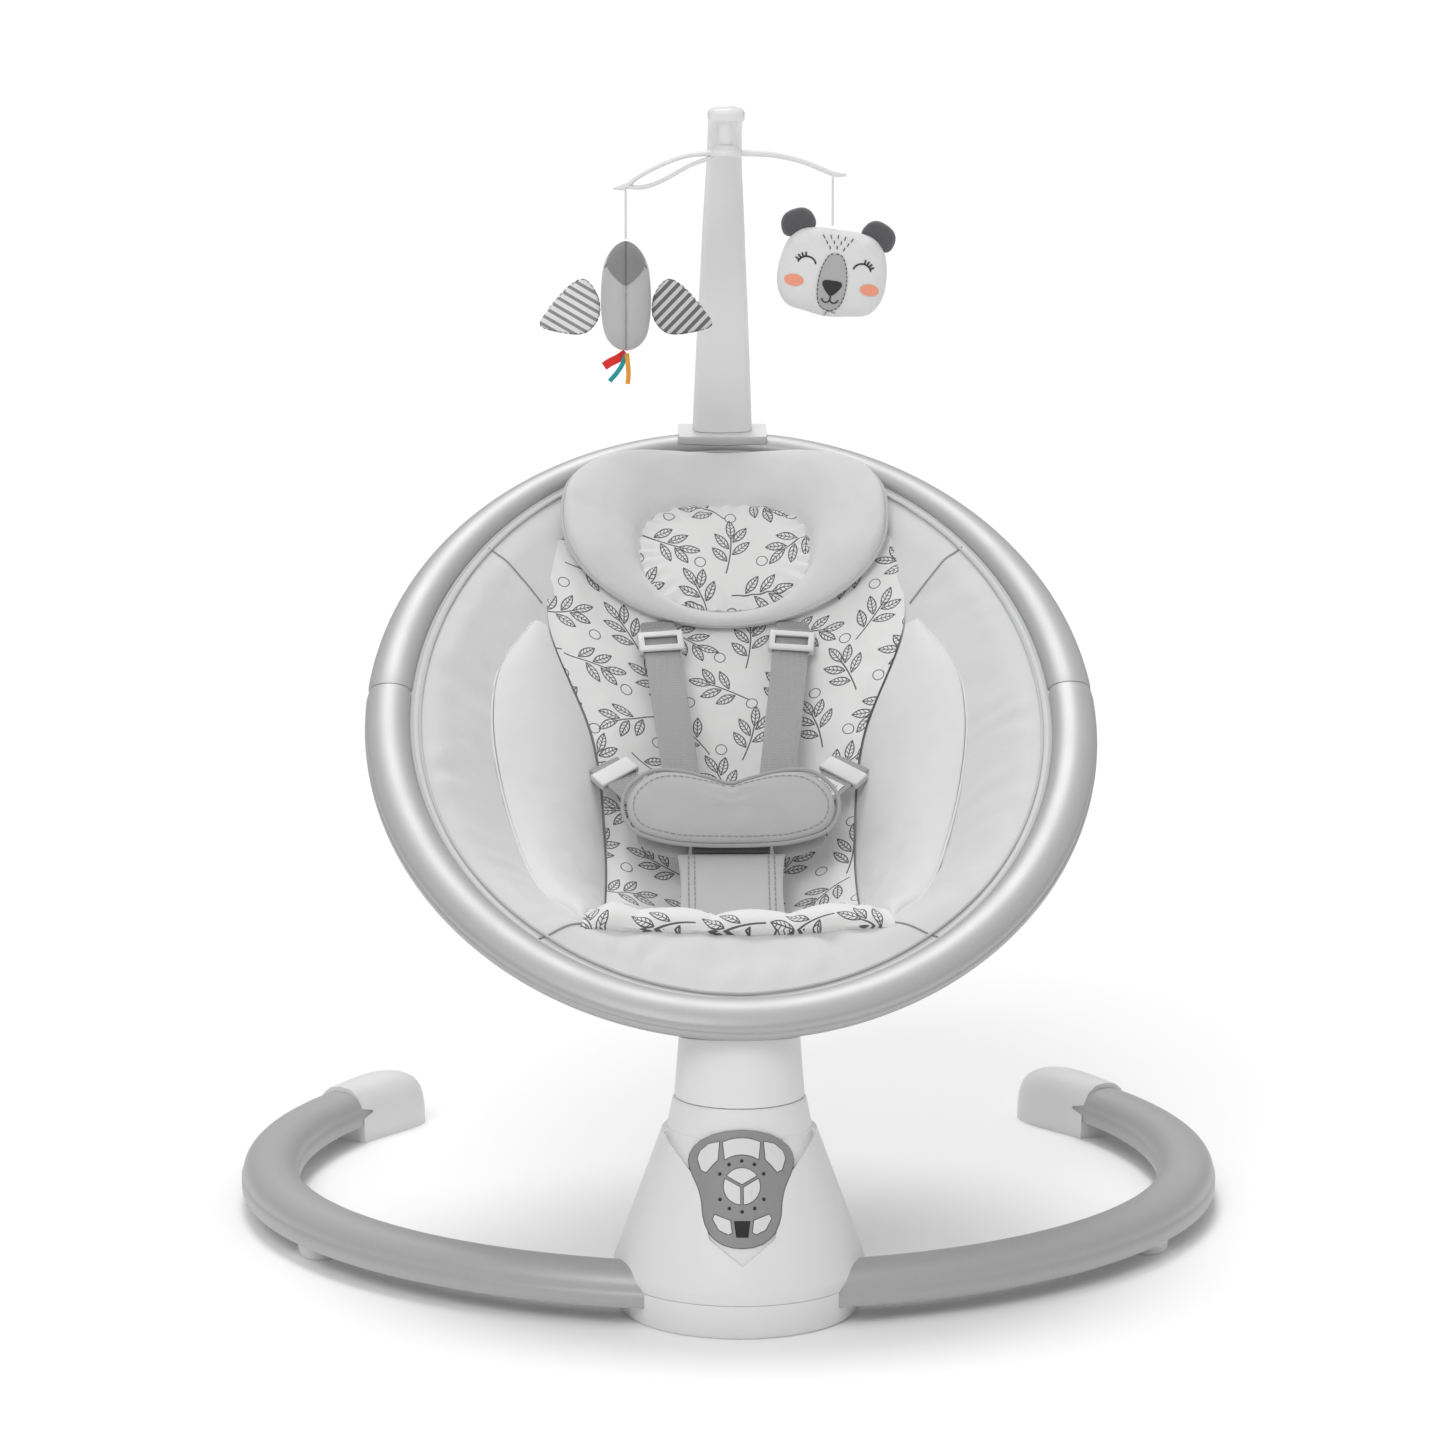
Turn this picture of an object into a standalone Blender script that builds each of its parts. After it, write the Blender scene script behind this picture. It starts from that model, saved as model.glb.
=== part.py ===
"""Electric baby swing: a C-shaped floor ring, a motor housing and a hoop seat that sways on a leaning pivot.

Metres, +Z up, +X to the right of someone facing the swing, +Y to its back. The origin is the centre of
the housing's underside, on the floor.
"""
import math

import bmesh
import bpy
from mathutils import Matrix, Vector

# Clearances
GAP = 0.0003                # between hard pieces that touch
SOFT_GAP = 0.0014           # between soft pieces that lie on each other

# Floor ring
RING_RADIUS = 0.315         # centreline
RING_FRONT = 0.034             # the tube's middle line passes this far before the housing's axis
RING_BACK = RING_RADIUS - RING_FRONT
TUBE_WIDTH = 0.039
TUBE_HEIGHT = 0.024
TUBE_SIDE = 0.009           # upright band below the arched top
TUBE_LIFT = 0.012           # floor to the tube's underside
TUBE_ROOT = 0.032           # where a tube ends inside the housing, from the middle
CAP_START = 117.7           # degrees round the ring from the front
CAP_END = 133.6
CAP_OVERLAP = 3.0           # degrees of tube held in a cap
CAP_WIDTH = 0.047
CAP_HEIGHT = 0.041
FOOT_ANGLE = 59.5
FOOT_LENGTH = 0.034
FOOT_WIDTH = 0.024

# Housing
PLATE_RADIUS = 0.0766
PLATE_HEIGHT = 0.0217
SKIRT_RADIUS = 0.0778       # widest part of the covers
SKIRT_HEIGHT = 0.032
SHOULDER_HEIGHT = 0.114
SHOULDER_RADIUS = 0.0478
SHOULDER_STEP = 0.0028
COLLAR_HEIGHT = 0.134
COLLAR_RADIUS = 0.0412
COVER_WALL = 0.003
COVER_SEAM = 0.010          # the front and rear covers meet at this depth
CREASE_INNER = (0.026, 0.092)
CREASE_OUTER = (0.050, 0.1165)
NECK_BOTTOM_RADIUS = 0.0402
NECK_TOP_RADIUS = 0.0374
NECK_WALL = 0.003

# Pivot
PIVOT_HEIGHT = 0.1712
PIVOT_LEAN = 8.0            # degrees, top to the back
SHAFT_RADIUS = 0.007
SHAFT_BELOW = 0.112
SHAFT_ABOVE = 0.008
BEARING_RADIUS = 0.0127
BEARING_WIDTH = 0.008
BEARING_TUBE_RADIUS = 0.0175
BEARING_TUBE_LENGTH = 0.100
MAGNET_ARM_REACH = 0.034
COIL_RADIUS = 0.012
COIL_BACK = 0.025

# Control panel
PANEL_HEIGHT = 0.089        # middle of the panel above the floor
PANEL_RADIUS = 0.0564       # cone radius there
PANEL_SLOPE = 19.1          # degrees from upright
PANEL_WALL = 0.003
BUTTON_RISE = 0.0008
BUTTON_WALL = 0.0042
DIAL_HEIGHT = 0.0016        # middle of the round group above the panel's middle
DIAL_RADIUS = 0.0110
DIAL_SPLIT = 0.0021
LIGHT_RING_RADIUS = 0.0153
LIGHT_RADIUS = 0.0009
BOARD_DEPTH = 0.0135

# Hoop
HOOP_HALF_WIDTH = 0.242     # outer edge
HOOP_HALF_LENGTH = 0.310
HOOP_TILT = 32.0            # degrees, head end up
HOOP_FRONT = (-0.0494, 0.1822)    # its lowest edge, back from the origin and up, where the carrier holds it
HOOP_BACK = HOOP_FRONT[0] + HOOP_HALF_LENGTH * math.cos(math.radians(HOOP_TILT))
HOOP_HEIGHT = HOOP_FRONT[1] + HOOP_HALF_LENGTH * math.sin(math.radians(HOOP_TILT))
HOOP_TUBE_WIDTH = 0.030
HOOP_TUBE_THICKNESS = 0.016
HOOP_HEAD_SLIM = 0.32       # share of the section lost at the head
HOOP_STEPS = 20                 # straight facets along each half
HOOP_SEAM = 0.017           # the halves meet this far above the middle

# Fabric
SLING_THICKNESS = 0.004
LINER_THICKNESS = 0.008
LINER_FRONT = -0.206
LINER_BACK = 0.200
WING_FRONT = -0.204
WING_BACK = 0.128
WING_THICKNESS = 0.017
PILLOW_MIDDLE = 0.211
PILLOW_HALF_WIDTH = 0.113
PILLOW_HALF_LENGTH = 0.067
PILLOW_THICKNESS = 0.028
PILLOW_RING = 1 / 6         # spacing of the pillow's rings of faces, as a share of its outline
PILLOW_DISH = 4 * PILLOW_RING       # where the padded rim's inner slope ends

# Harness
WEBBING_WIDTH = 0.025
WEBBING_THICKNESS = 0.0016
SHOULDER_TOP = (0.047, 0.140)       # x and distance towards the head
SHOULDER_END = (0.030, -0.025, -0.0619)
SLIDER_LENGTH = 0.019
SLIDER_REACH = 0.013        # from the strap's top to the slider's middle
WAIST_EDGE = (0.0948, 0.0146, -0.0688)    # the webbing's outer edge where it leaves the wing
WAIST_TURN = 50.4                         # degrees that it runs down from straight across, nearly
WAIST_CORNER = (-0.0289, -0.0726)         # where its other edge ends beside the buckle, along and up
BELLY_MIDDLE = (-0.036, -0.058)     # towards the head, out of the hoop's plane
BELLY_TILT = 25.0
BELLY_THICKNESS = 0.013
BUCKLE_SIZE = (0.052, 0.037, 0.013)
BUCKLE_PRESS = 0.0025
CROTCH_FRONT = (-0.116, -0.0945)
CROTCH_TOP = (-0.0586, -0.0815)
CROTCH_WIDTH = 0.073
CROTCH_THICKNESS = 0.008

# Toy arm and toys
ARM_LEAN = 17.0
CLAMP_WIDTH = 0.064
ARM_SOCKET_DEPTH = 0.040
ARM_TANG = (0.026, 0.010)
STEM_RADIUS = 0.0048
MOBILE_BACK = 0.345
HUB_TOP = 0.716
HUB_BOTTOM = 0.7085
HUB_RADIUS = 0.0115
LEFT_STRING = (-0.0690, 0.6860)
RIGHT_STRING = (0.0730, 0.6950)
STRING_LENGTH = 0.033
STRING_RADIUS = 0.0008


def clear_scene():
    for obj in list(bpy.data.objects):
        bpy.data.objects.remove(obj)


def new_collection(name):
    collection = bpy.data.collections.new(name)
    bpy.context.scene.collection.children.link(collection)
    return collection


clear_scene()
PARTS = new_collection("baby_swing")
CUTTERS = new_collection("cutters")
MATERIALS = {}


def material(name, colour, roughness, metallic=0.0):
    """One Principled material, made once for each name."""
    if name not in MATERIALS:
        made = bpy.data.materials.new(name)
        made.use_nodes = True
        shader = made.node_tree.nodes["Principled BSDF"]
        shader.inputs["Base Color"].default_value = (*colour, 1.0)
        shader.inputs["Roughness"].default_value = roughness
        shader.inputs["Metallic"].default_value = metallic
        MATERIALS[name] = made
    return MATERIALS[name]


def white_plastic():
    return material("white_plastic", (0.82, 0.82, 0.82), 0.35)


def grey_plastic():
    return material("grey_plastic", (0.20, 0.20, 0.21), 0.40)


def silver_tube():
    return material("silver_tube", (0.50, 0.50, 0.51), 0.38, 0.35)


def steel():
    return material("steel", (0.55, 0.55, 0.56), 0.25, 1.0)


def grey_fabric():
    return material("grey_fabric", (0.62, 0.62, 0.63), 0.90)


def pale_fabric():
    return material("pale_fabric", (0.72, 0.72, 0.73), 0.90)


def patterned_fabric():
    return material("patterned_fabric", (0.80, 0.80, 0.79), 0.90)


def webbing():
    return material("webbing", (0.33, 0.33, 0.34), 0.85)


def place(name, data, paint, frame=None):
    """Link a part; with no paint it is a cutter or a guide."""
    obj = bpy.data.objects.new(name, data)
    (PARTS if paint else CUTTERS).objects.link(obj)
    if frame is not None:
        obj.matrix_world = frame
    if paint:
        obj.data.materials.append(paint)
    else:
        obj.hide_render = True
        obj.display_type = "WIRE"
    return obj


def smooth(obj, angle=35.0):
    obj.data.shade_smooth()
    obj.data.set_sharp_from_angle(angle=math.radians(angle))
    return obj


def frame(origin, x_axis, z_axis):
    """A matrix from an origin and two directions."""
    z_axis = Vector(z_axis).normalized()
    x_axis = Vector(x_axis)
    x_axis = (x_axis - z_axis * x_axis.dot(z_axis)).normalized()
    y_axis = z_axis.cross(x_axis)
    matrix = Matrix((x_axis, y_axis, z_axis)).transposed().to_4x4()
    matrix.translation = Vector(origin)
    return matrix


def leaning(degrees):
    """The upright direction leaned to the back."""
    return Vector((0, math.sin(math.radians(degrees)), math.cos(math.radians(degrees))))


PIVOT = frame((0, 0, PIVOT_HEIGHT), (1, 0, 0), leaning(PIVOT_LEAN))
SEAT = frame((0, HOOP_BACK, HOOP_HEIGHT), (1, 0, 0), leaning(-HOOP_TILT))
PANEL_OUT = Vector((0, -math.cos(math.radians(PANEL_SLOPE)), math.sin(math.radians(PANEL_SLOPE))))
PANEL = frame((0, -PANEL_RADIUS, PANEL_HEIGHT), (1, 0, 0), PANEL_OUT)


def boolean(obj, tool, operation):
    modifier = obj.modifiers.new(operation.lower(), "BOOLEAN")
    modifier.object = tool
    modifier.operation = operation
    return obj


def cut(obj, tool):
    return boolean(obj, tool, "DIFFERENCE")


def keep(obj, tool):
    return boolean(obj, tool, "INTERSECT")


def join(obj, tool):
    return boolean(obj, tool, "UNION")


def turned(name, profile, paint=None, at=None, steps=32, closed=False):
    """A profile of (radius, height) points, from the top down its outer side, turned about Z."""
    mesh = bpy.data.meshes.new(name)
    points = [(radius, 0, height) for radius, height in profile]
    edges = [(i, i + 1) for i in range(len(points) - 1)]
    if closed:
        edges.append((len(points) - 1, 0))
    mesh.from_pydata(points, edges, [])
    obj = place(name, mesh, paint, at)
    screw = obj.modifiers.new("turn", "SCREW")
    screw.steps = steps
    screw.render_steps = steps
    screw.use_merge_vertices = True
    screw.merge_threshold = 0.00001
    screw.use_smooth_shade = True
    return obj


def box(name, size, paint=None, at=None, offset=(0, 0, 0), bevel=0.0):
    bm = bmesh.new()
    bmesh.ops.create_cube(bm, size=1.0)
    bmesh.ops.scale(bm, vec=Vector(size), verts=bm.verts)
    bmesh.ops.translate(bm, vec=Vector(offset), verts=bm.verts)
    mesh = bpy.data.meshes.new(name)
    bm.to_mesh(mesh)
    bm.free()
    obj = place(name, mesh, paint, at)
    if bevel:
        modifier = obj.modifiers.new("bevel", "BEVEL")
        modifier.width = bevel
        modifier.segments = 2
    return obj


def cylinder(name, radius, low, high, paint=None, at=None, middle=(0, 0), steps=24, top_radius=None,
             squash=1.0):
    bm = bmesh.new()
    top_radius = radius if top_radius is None else top_radius
    bmesh.ops.create_cone(bm, cap_ends=True, segments=steps, radius1=radius, radius2=top_radius,
                          depth=high - low)
    bmesh.ops.scale(bm, vec=Vector((1, squash, 1)), verts=bm.verts)
    bmesh.ops.translate(bm, vec=Vector((middle[0], middle[1], (low + high) / 2)), verts=bm.verts)
    mesh = bpy.data.meshes.new(name)
    bm.to_mesh(mesh)
    bm.free()
    return place(name, mesh, paint, at)


def flat_curve(name, outlines, half_thickness):
    curve = bpy.data.curves.new(name, "CURVE")
    curve.dimensions = "2D"
    curve.fill_mode = "BOTH"
    curve.extrude = half_thickness
    for outline in outlines:
        spline = curve.splines.new("POLY")
        spline.points.add(len(outline) - 1)
        for point, (x, y) in zip(spline.points, outline):
            point.co = (x, y, 0, 1)
        spline.use_cyclic_u = True
    return curve


def solid_from_curve(curve_object, paint):
    """Turn a curve object into a mesh with its caps welded, in the same place."""
    bpy.context.view_layer.update()
    name = curve_object.name
    evaluated = curve_object.evaluated_get(bpy.context.evaluated_depsgraph_get())
    mesh = bpy.data.meshes.new_from_object(evaluated)
    bm = bmesh.new()
    bm.from_mesh(mesh)
    bmesh.ops.remove_doubles(bm, verts=bm.verts, dist=0.000001)
    bmesh.ops.recalc_face_normals(bm, faces=bm.faces)
    bm.to_mesh(mesh)
    bm.free()
    mesh.materials.clear()
    at = curve_object.matrix_world.copy()
    bpy.data.objects.remove(curve_object)
    obj = place(name, mesh, paint, at)
    obj.name = name
    return obj


def slab(name, outlines, low, high, paint=None, at=None):
    """A flat outline, with any holes after it, from one height to another in its frame."""
    middle = Matrix.Translation((0, 0, (low + high) / 2))
    at = (at if at is not None else Matrix.Identity(4)) @ middle
    curve = flat_curve(name, outlines, (high - low) / 2)
    return solid_from_curve(place(name, curve, None, at), paint)


def sweep(name, path, section, paint=None, at=None, scales=None):
    """A closed section, x to the right of the path and y up, carried along a path."""
    guide = place(name + "_section", flat_curve(name + "_section", [section], 0), None)
    curve = bpy.data.curves.new(name, "CURVE")
    curve.dimensions = "3D"
    curve.twist_mode = "Z_UP"
    curve.bevel_mode = "OBJECT"
    curve.bevel_object = guide
    curve.use_fill_caps = True
    spline = curve.splines.new("POLY")
    spline.points.add(len(path) - 1)
    for number, (point, place_on_path) in enumerate(zip(spline.points, path)):
        point.co = (*place_on_path, 1)
        point.radius = scales[number] if scales else 1.0
    obj = solid_from_curve(place(name, curve, None, at), paint)
    bpy.data.objects.remove(guide)
    return smooth(obj)


def loft(name, sections, paint=None, at=None):
    """Skin a row of unlike closed sections with equal point counts, and close both ends."""
    count = len(sections[0])
    points = [tuple(point) for section in sections for point in section]
    faces = [tuple(reversed(range(count)))]
    for row in range(len(sections) - 1):
        for column in range(count):
            after = (column + 1) % count
            near, far = row * count, (row + 1) * count
            faces.append((near + column, near + after, far + after, far + column))
    faces.append(tuple(range((len(sections) - 1) * count, len(sections) * count)))
    mesh = bpy.data.meshes.new(name)
    mesh.from_pydata(points, [], faces)
    outward(mesh)
    return smooth(place(name, mesh, paint, at))


def outward(mesh):
    bm = bmesh.new()
    bm.from_mesh(mesh)
    bmesh.ops.recalc_face_normals(bm, faces=bm.faces)
    bm.to_mesh(mesh)
    bm.free()


def pad(name, over, under, columns, rows, paint):
    """A closed soft pad in the seat's frame between two surfaces, each a function of u and v from -1 to 1."""
    points = []
    for surface in (over, under):
        for row in range(rows + 1):
            for column in range(columns + 1):
                points.append(surface(2 * column / columns - 1, 2 * row / rows - 1))
    wide = columns + 1
    layer = wide * (rows + 1)
    faces = []
    for row in range(rows):
        for column in range(columns):
            corner = row * wide + column
            quad = (corner, corner + 1, corner + wide + 1, corner + wide)
            faces.append(quad)
            faces.append(tuple(layer + index for index in reversed(quad)))
    rim = [column for column in range(columns)]
    rim += [columns + row * wide for row in range(rows)]
    rim += [rows * wide + column for column in range(columns, 0, -1)]
    rim += [row * wide for row in range(rows, 0, -1)]
    for here, there in zip(rim, rim[1:] + rim[:1]):
        faces.append((there, here, layer + here, layer + there))
    mesh = bpy.data.meshes.new(name)
    mesh.from_pydata(points, [], faces)
    outward(mesh)
    return smooth(place(name, mesh, paint, SEAT), 60)


def blend(low, high, value):
    """0 below low, 1 above high, an eased step between."""
    share = min(max((value - low) / (high - low), 0.0), 1.0)
    return share * share * (3 - 2 * share)


def through(points, value):
    """Read an eased curve through (place, amount) points."""
    if value <= points[0][0]:
        return points[0][1]
    for (start, first), (end, second) in zip(points, points[1:]):
        if value <= end:
            return first + (second - first) * blend(start, end, value)
    return points[-1][1]


def rounded(points, steps=2):
    """A closed outline curving through its points."""
    outline = []
    count = len(points)
    for index in range(count):
        before, start, end, after = (Vector(points[(index + shift) % count]) for shift in (-1, 0, 1, 2))
        for step in range(steps):
            t = step / steps
            bend = 2 * before - 5 * start + 4 * end - after
            outline.append(0.5 * (2 * start + (end - before) * t + bend * t ** 2
                                  + (3 * start - before - 3 * end + after) * t ** 3))
    return [tuple(point) for point in outline]


def mirrored(half):
    """Complete an outline whose points run from the top down its right side."""
    left = [(-x, y) for x, y in reversed(half) if x > 0.00001]
    return list(half) + left


def grown(outline, margin):
    """Move an outline outwards all round."""
    count = len(outline)
    area = sum(outline[i][0] * outline[(i + 1) % count][1] - outline[(i + 1) % count][0] * outline[i][1]
               for i in range(count))
    side = 1 if area > 0 else -1
    result = []
    for index, (x, y) in enumerate(outline):
        before = Vector(outline[index - 1])
        after = Vector(outline[(index + 1) % count])
        here = Vector((x, y))
        first = (here - before).normalized()
        second = (after - here).normalized()
        normal = Vector((first.y + second.y, -first.x - second.x)).normalized() * side
        reach = margin / max(normal.dot(Vector((first.y, -first.x)) * side), 0.5)
        result.append((x + normal.x * reach, y + normal.y * reach))
    return result


def arch(half_width, height, power=0.75, steps=10):
    """A section with a flat bottom and a rounded top, as (across, up) points."""
    points = []
    for step in range(steps + 1):
        angle = math.pi * step / steps
        across = math.copysign(abs(math.cos(angle)) ** power, math.cos(angle))
        points.append((half_width * across, height * math.sin(angle) ** power))
    return points


# Floor ring -----------------------------------------------------------------

def ring_point(angle, out=0.0, height=0.0):
    turn = math.radians(angle)
    radius = RING_RADIUS + out
    return Vector((radius * math.sin(turn), RING_BACK - radius * math.cos(turn), height))


def ring_path(start, end, steps):
    return [ring_point(start + (end - start) * step / steps, height=TUBE_LIFT) for step in range(steps + 1)]


def tube_section(margin=0.0):
    side = TUBE_WIDTH / 2
    rise = TUBE_HEIGHT - TUBE_SIDE
    top = [(side * math.cos(math.radians(a)) * 0.94, TUBE_SIDE + rise * math.sin(math.radians(a)) ** 0.9)
           for a in range(22, 159, 27)]
    outline = [(side - 0.0015, 0), (side, 0.0015), (side, TUBE_SIDE), *top]
    outline += [(-side, TUBE_SIDE), (-side, 0.0015), (-side + 0.0015, 0)]
    return grown(outline, margin) if margin else outline


ROOT_ANGLE = math.degrees(math.asin(TUBE_ROOT / RING_RADIUS))
TUBE_END = CAP_START + CAP_OVERLAP


def base_tubes():
    """The two silver tubes, and a slightly larger copy of each that cuts what they pass through."""
    tools = []
    for side, start, end in (("right", ROOT_ANGLE, TUBE_END), ("left", -TUBE_END, -ROOT_ANGLE)):
        sweep(side + "_base_tube", ring_path(start, end, 24), tube_section(), silver_tube())
        spare = math.degrees(GAP / RING_RADIUS)
        tools.append(sweep(side + "_tube_room", ring_path(start - spare, end + spare, 24), tube_section(GAP)))
    return tools


def end_cap(side, sign, tube_room):
    """A white cap over a tube's end, flat on the floor, with a rounded nose."""
    steps = 10
    sections = []
    for step in range(steps + 1):
        t = step / steps
        angle = CAP_START + (CAP_END - CAP_START) * (1 - (1 - t) ** 1.35)
        nose = math.sqrt(max(1 - max(t - 0.45, 0) ** 2 / 0.31, 0.02))
        swell = 0.90 + 0.10 * blend(0, 0.35, t)
        width = CAP_WIDTH / 2 * swell * nose
        height = CAP_HEIGHT * (0.97 + 0.03 * blend(0, 0.45, t)) * (0.35 + 0.65 * nose)
        sections.append([ring_point(sign * angle, sign * across if sign > 0 else across, up)
                         for across, up in arch(width, height)])
    cap = loft(side + "_end_cap", sections, white_plastic())
    return cut(cap, tube_room)


def foot(side, sign):
    turned_out = Matrix.Rotation(math.radians(sign * FOOT_ANGLE), 4, "Z")
    at = Matrix.Translation(ring_point(sign * FOOT_ANGLE)) @ turned_out
    pad_foot = cylinder(side + "_foot", FOOT_LENGTH / 2 - 0.002, 0, TUBE_LIFT - GAP, white_plastic(), at,
                        steps=16,
                        top_radius=FOOT_LENGTH / 2, squash=FOOT_WIDTH / FOOT_LENGTH)
    return smooth(pad_foot)


# Housing --------------------------------------------------------------------

SKIRT_SLOPE = (SKIRT_RADIUS - SHOULDER_RADIUS) / (SHOULDER_HEIGHT - SKIRT_HEIGHT)
COVER_BOTTOM = PLATE_HEIGHT + GAP


def inner_cone(height):
    """Radius of the recessed cone that the collar and the panel's surround lie on."""
    below = SHOULDER_RADIUS - SHOULDER_STEP + SKIRT_SLOPE * (SHOULDER_HEIGHT - height)
    if height <= SHOULDER_HEIGHT:
        return below
    share = (height - SHOULDER_HEIGHT) / (COLLAR_HEIGHT - SHOULDER_HEIGHT)
    return SHOULDER_RADIUS - SHOULDER_STEP + (COLLAR_RADIUS - SHOULDER_RADIUS + SHOULDER_STEP) * share


def cover_profile():
    """Outer side down, then the inner side up."""
    step_top = SHOULDER_HEIGHT + 0.002
    outer = [(COLLAR_RADIUS - 0.001, COLLAR_HEIGHT), (COLLAR_RADIUS, COLLAR_HEIGHT - 0.001),
             (inner_cone(step_top), step_top), (SHOULDER_RADIUS, SHOULDER_HEIGHT),
             (SKIRT_RADIUS, SKIRT_HEIGHT), (SKIRT_RADIUS + 0.0003, SKIRT_HEIGHT - 0.004),
             (PLATE_RADIUS, COVER_BOTTOM)]
    inner = [(PLATE_RADIUS - COVER_WALL, COVER_BOTTOM), (inner_cone(SKIRT_HEIGHT) - COVER_WALL, SKIRT_HEIGHT),
             (inner_cone(SHOULDER_HEIGHT) - COVER_WALL, SHOULDER_HEIGHT),
             (COLLAR_RADIUS - COVER_WALL, COLLAR_HEIGHT)]
    return outer + inner


def seam_block(name, front):
    """Everything in front of the covers' seam, or behind it."""
    size = 0.4
    middle = COVER_SEAM - GAP / 2 - size / 2 if front else COVER_SEAM + GAP / 2 + size / 2
    return box(name, (size, size, size), offset=(0, middle, 0))


def crease_tool():
    """The wedge above the two creases, as deep as the shoulder stands proud."""
    low, high = 0.040, COLLAR_HEIGHT + 0.004
    ring = turned("crease_ring", [(SKIRT_RADIUS + 0.02, high), (SKIRT_RADIUS + 0.02, low),
                                  (inner_cone(low), low),
                                  (inner_cone(SHOULDER_HEIGHT), SHOULDER_HEIGHT),
                                  (inner_cone(SHOULDER_HEIGHT) + 0.003, high)], steps=64, closed=True)
    (inner_x, inner_z), (outer_x, outer_z) = CREASE_INNER, CREASE_OUTER
    wedge = [(outer_x, outer_z + 0.03), (outer_x, outer_z), (inner_x, inner_z), (0.020, 0.060), (0.0, 0.045)]
    front = frame((0, 0, 0), (1, 0, 0), (0, -1, 0))
    return keep(ring, slab("crease_wedge", [mirrored([(0.0, outer_z + 0.03), *wedge])], 0.010, 0.12,
                           at=front))


def housing_covers(tube_rooms, panel_room):
    front = turned("housing_front_cover", cover_profile(), white_plastic(), steps=64, closed=True)
    keep(front, seam_block("front_side", True))
    cut(front, crease_tool())
    cut(front, panel_room)
    for room in tube_rooms:
        cut(front, room)
    rear = turned("housing_rear_cover", cover_profile(), white_plastic(), steps=40, closed=True)
    keep(rear, seam_block("rear_side", False))
    for room in tube_rooms:
        cut(rear, room)
    inlet_height = 0.040
    depth = inner_cone(inlet_height)
    back = frame((0, 0, inlet_height), (1, 0, 0), (0, 1, 0))
    cut(rear, cylinder("inlet_room", 0.0070 + GAP, depth - 0.02, depth + 0.02, at=back))
    turned("power_inlet", [(0.0070, depth + 0.0035), (0.0070, depth - 0.012), (0.0, depth - 0.012),
                           (0.0, depth - 0.006), (0.0040, depth - 0.006), (0.0040, depth + 0.0035)],
           grey_plastic(), back, steps=20, closed=True)


def base_plate(tube_rooms):
    """A shallow tray that carries the tubes' roots and the inner pieces."""
    rim = PLATE_RADIUS - 0.006
    floor = TUBE_LIFT - 2 * GAP
    plate = turned("base_plate", [(0, floor), (rim, floor), (rim, PLATE_HEIGHT), (PLATE_RADIUS, PLATE_HEIGHT),
                                  (PLATE_RADIUS, 0.014), (PLATE_RADIUS - 0.003, 0.002),
                                  (PLATE_RADIUS - 0.005, 0),
                                  (0, 0)], white_plastic(), steps=48)
    for room in tube_rooms:
        cut(plate, room)
    return plate


def neck():
    """A tapered ring whose top lies square to the leaning pivot."""
    steps = 32
    bottom = COLLAR_HEIGHT + GAP
    bore = BEARING_TUBE_RADIUS - 0.003
    rings = [(NECK_BOTTOM_RADIUS, bottom, False), (NECK_TOP_RADIUS, 0, True), (bore, 0, True),
             (bore, -NECK_WALL, True), (NECK_TOP_RADIUS - NECK_WALL, -NECK_WALL, True),
             (NECK_BOTTOM_RADIUS - NECK_WALL, bottom, False)]
    slope = math.tan(math.radians(PIVOT_LEAN))
    sections = []
    for step in range(steps):
        turn = 2 * math.pi * step / steps
        row = []
        for radius, height, leans in rings:
            x, y = radius * math.cos(turn), radius * math.sin(turn)
            row.append((x, y, PIVOT_HEIGHT + height - y * slope if leans else height))
        sections.append(row)
    count = len(rings)
    points = [point for row in sections for point in row]
    faces = []
    for step in range(steps):
        after = (step + 1) % steps
        for index in range(count):
            follow = (index + 1) % count
            faces.append((step * count + index, step * count + follow, after * count + follow,
                          after * count + index))
    mesh = bpy.data.meshes.new("neck_shell")
    mesh.from_pydata(points, [], faces)
    outward(mesh)
    return smooth(place("neck_shell", mesh, white_plastic()))


# Pivot ----------------------------------------------------------------------

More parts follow.
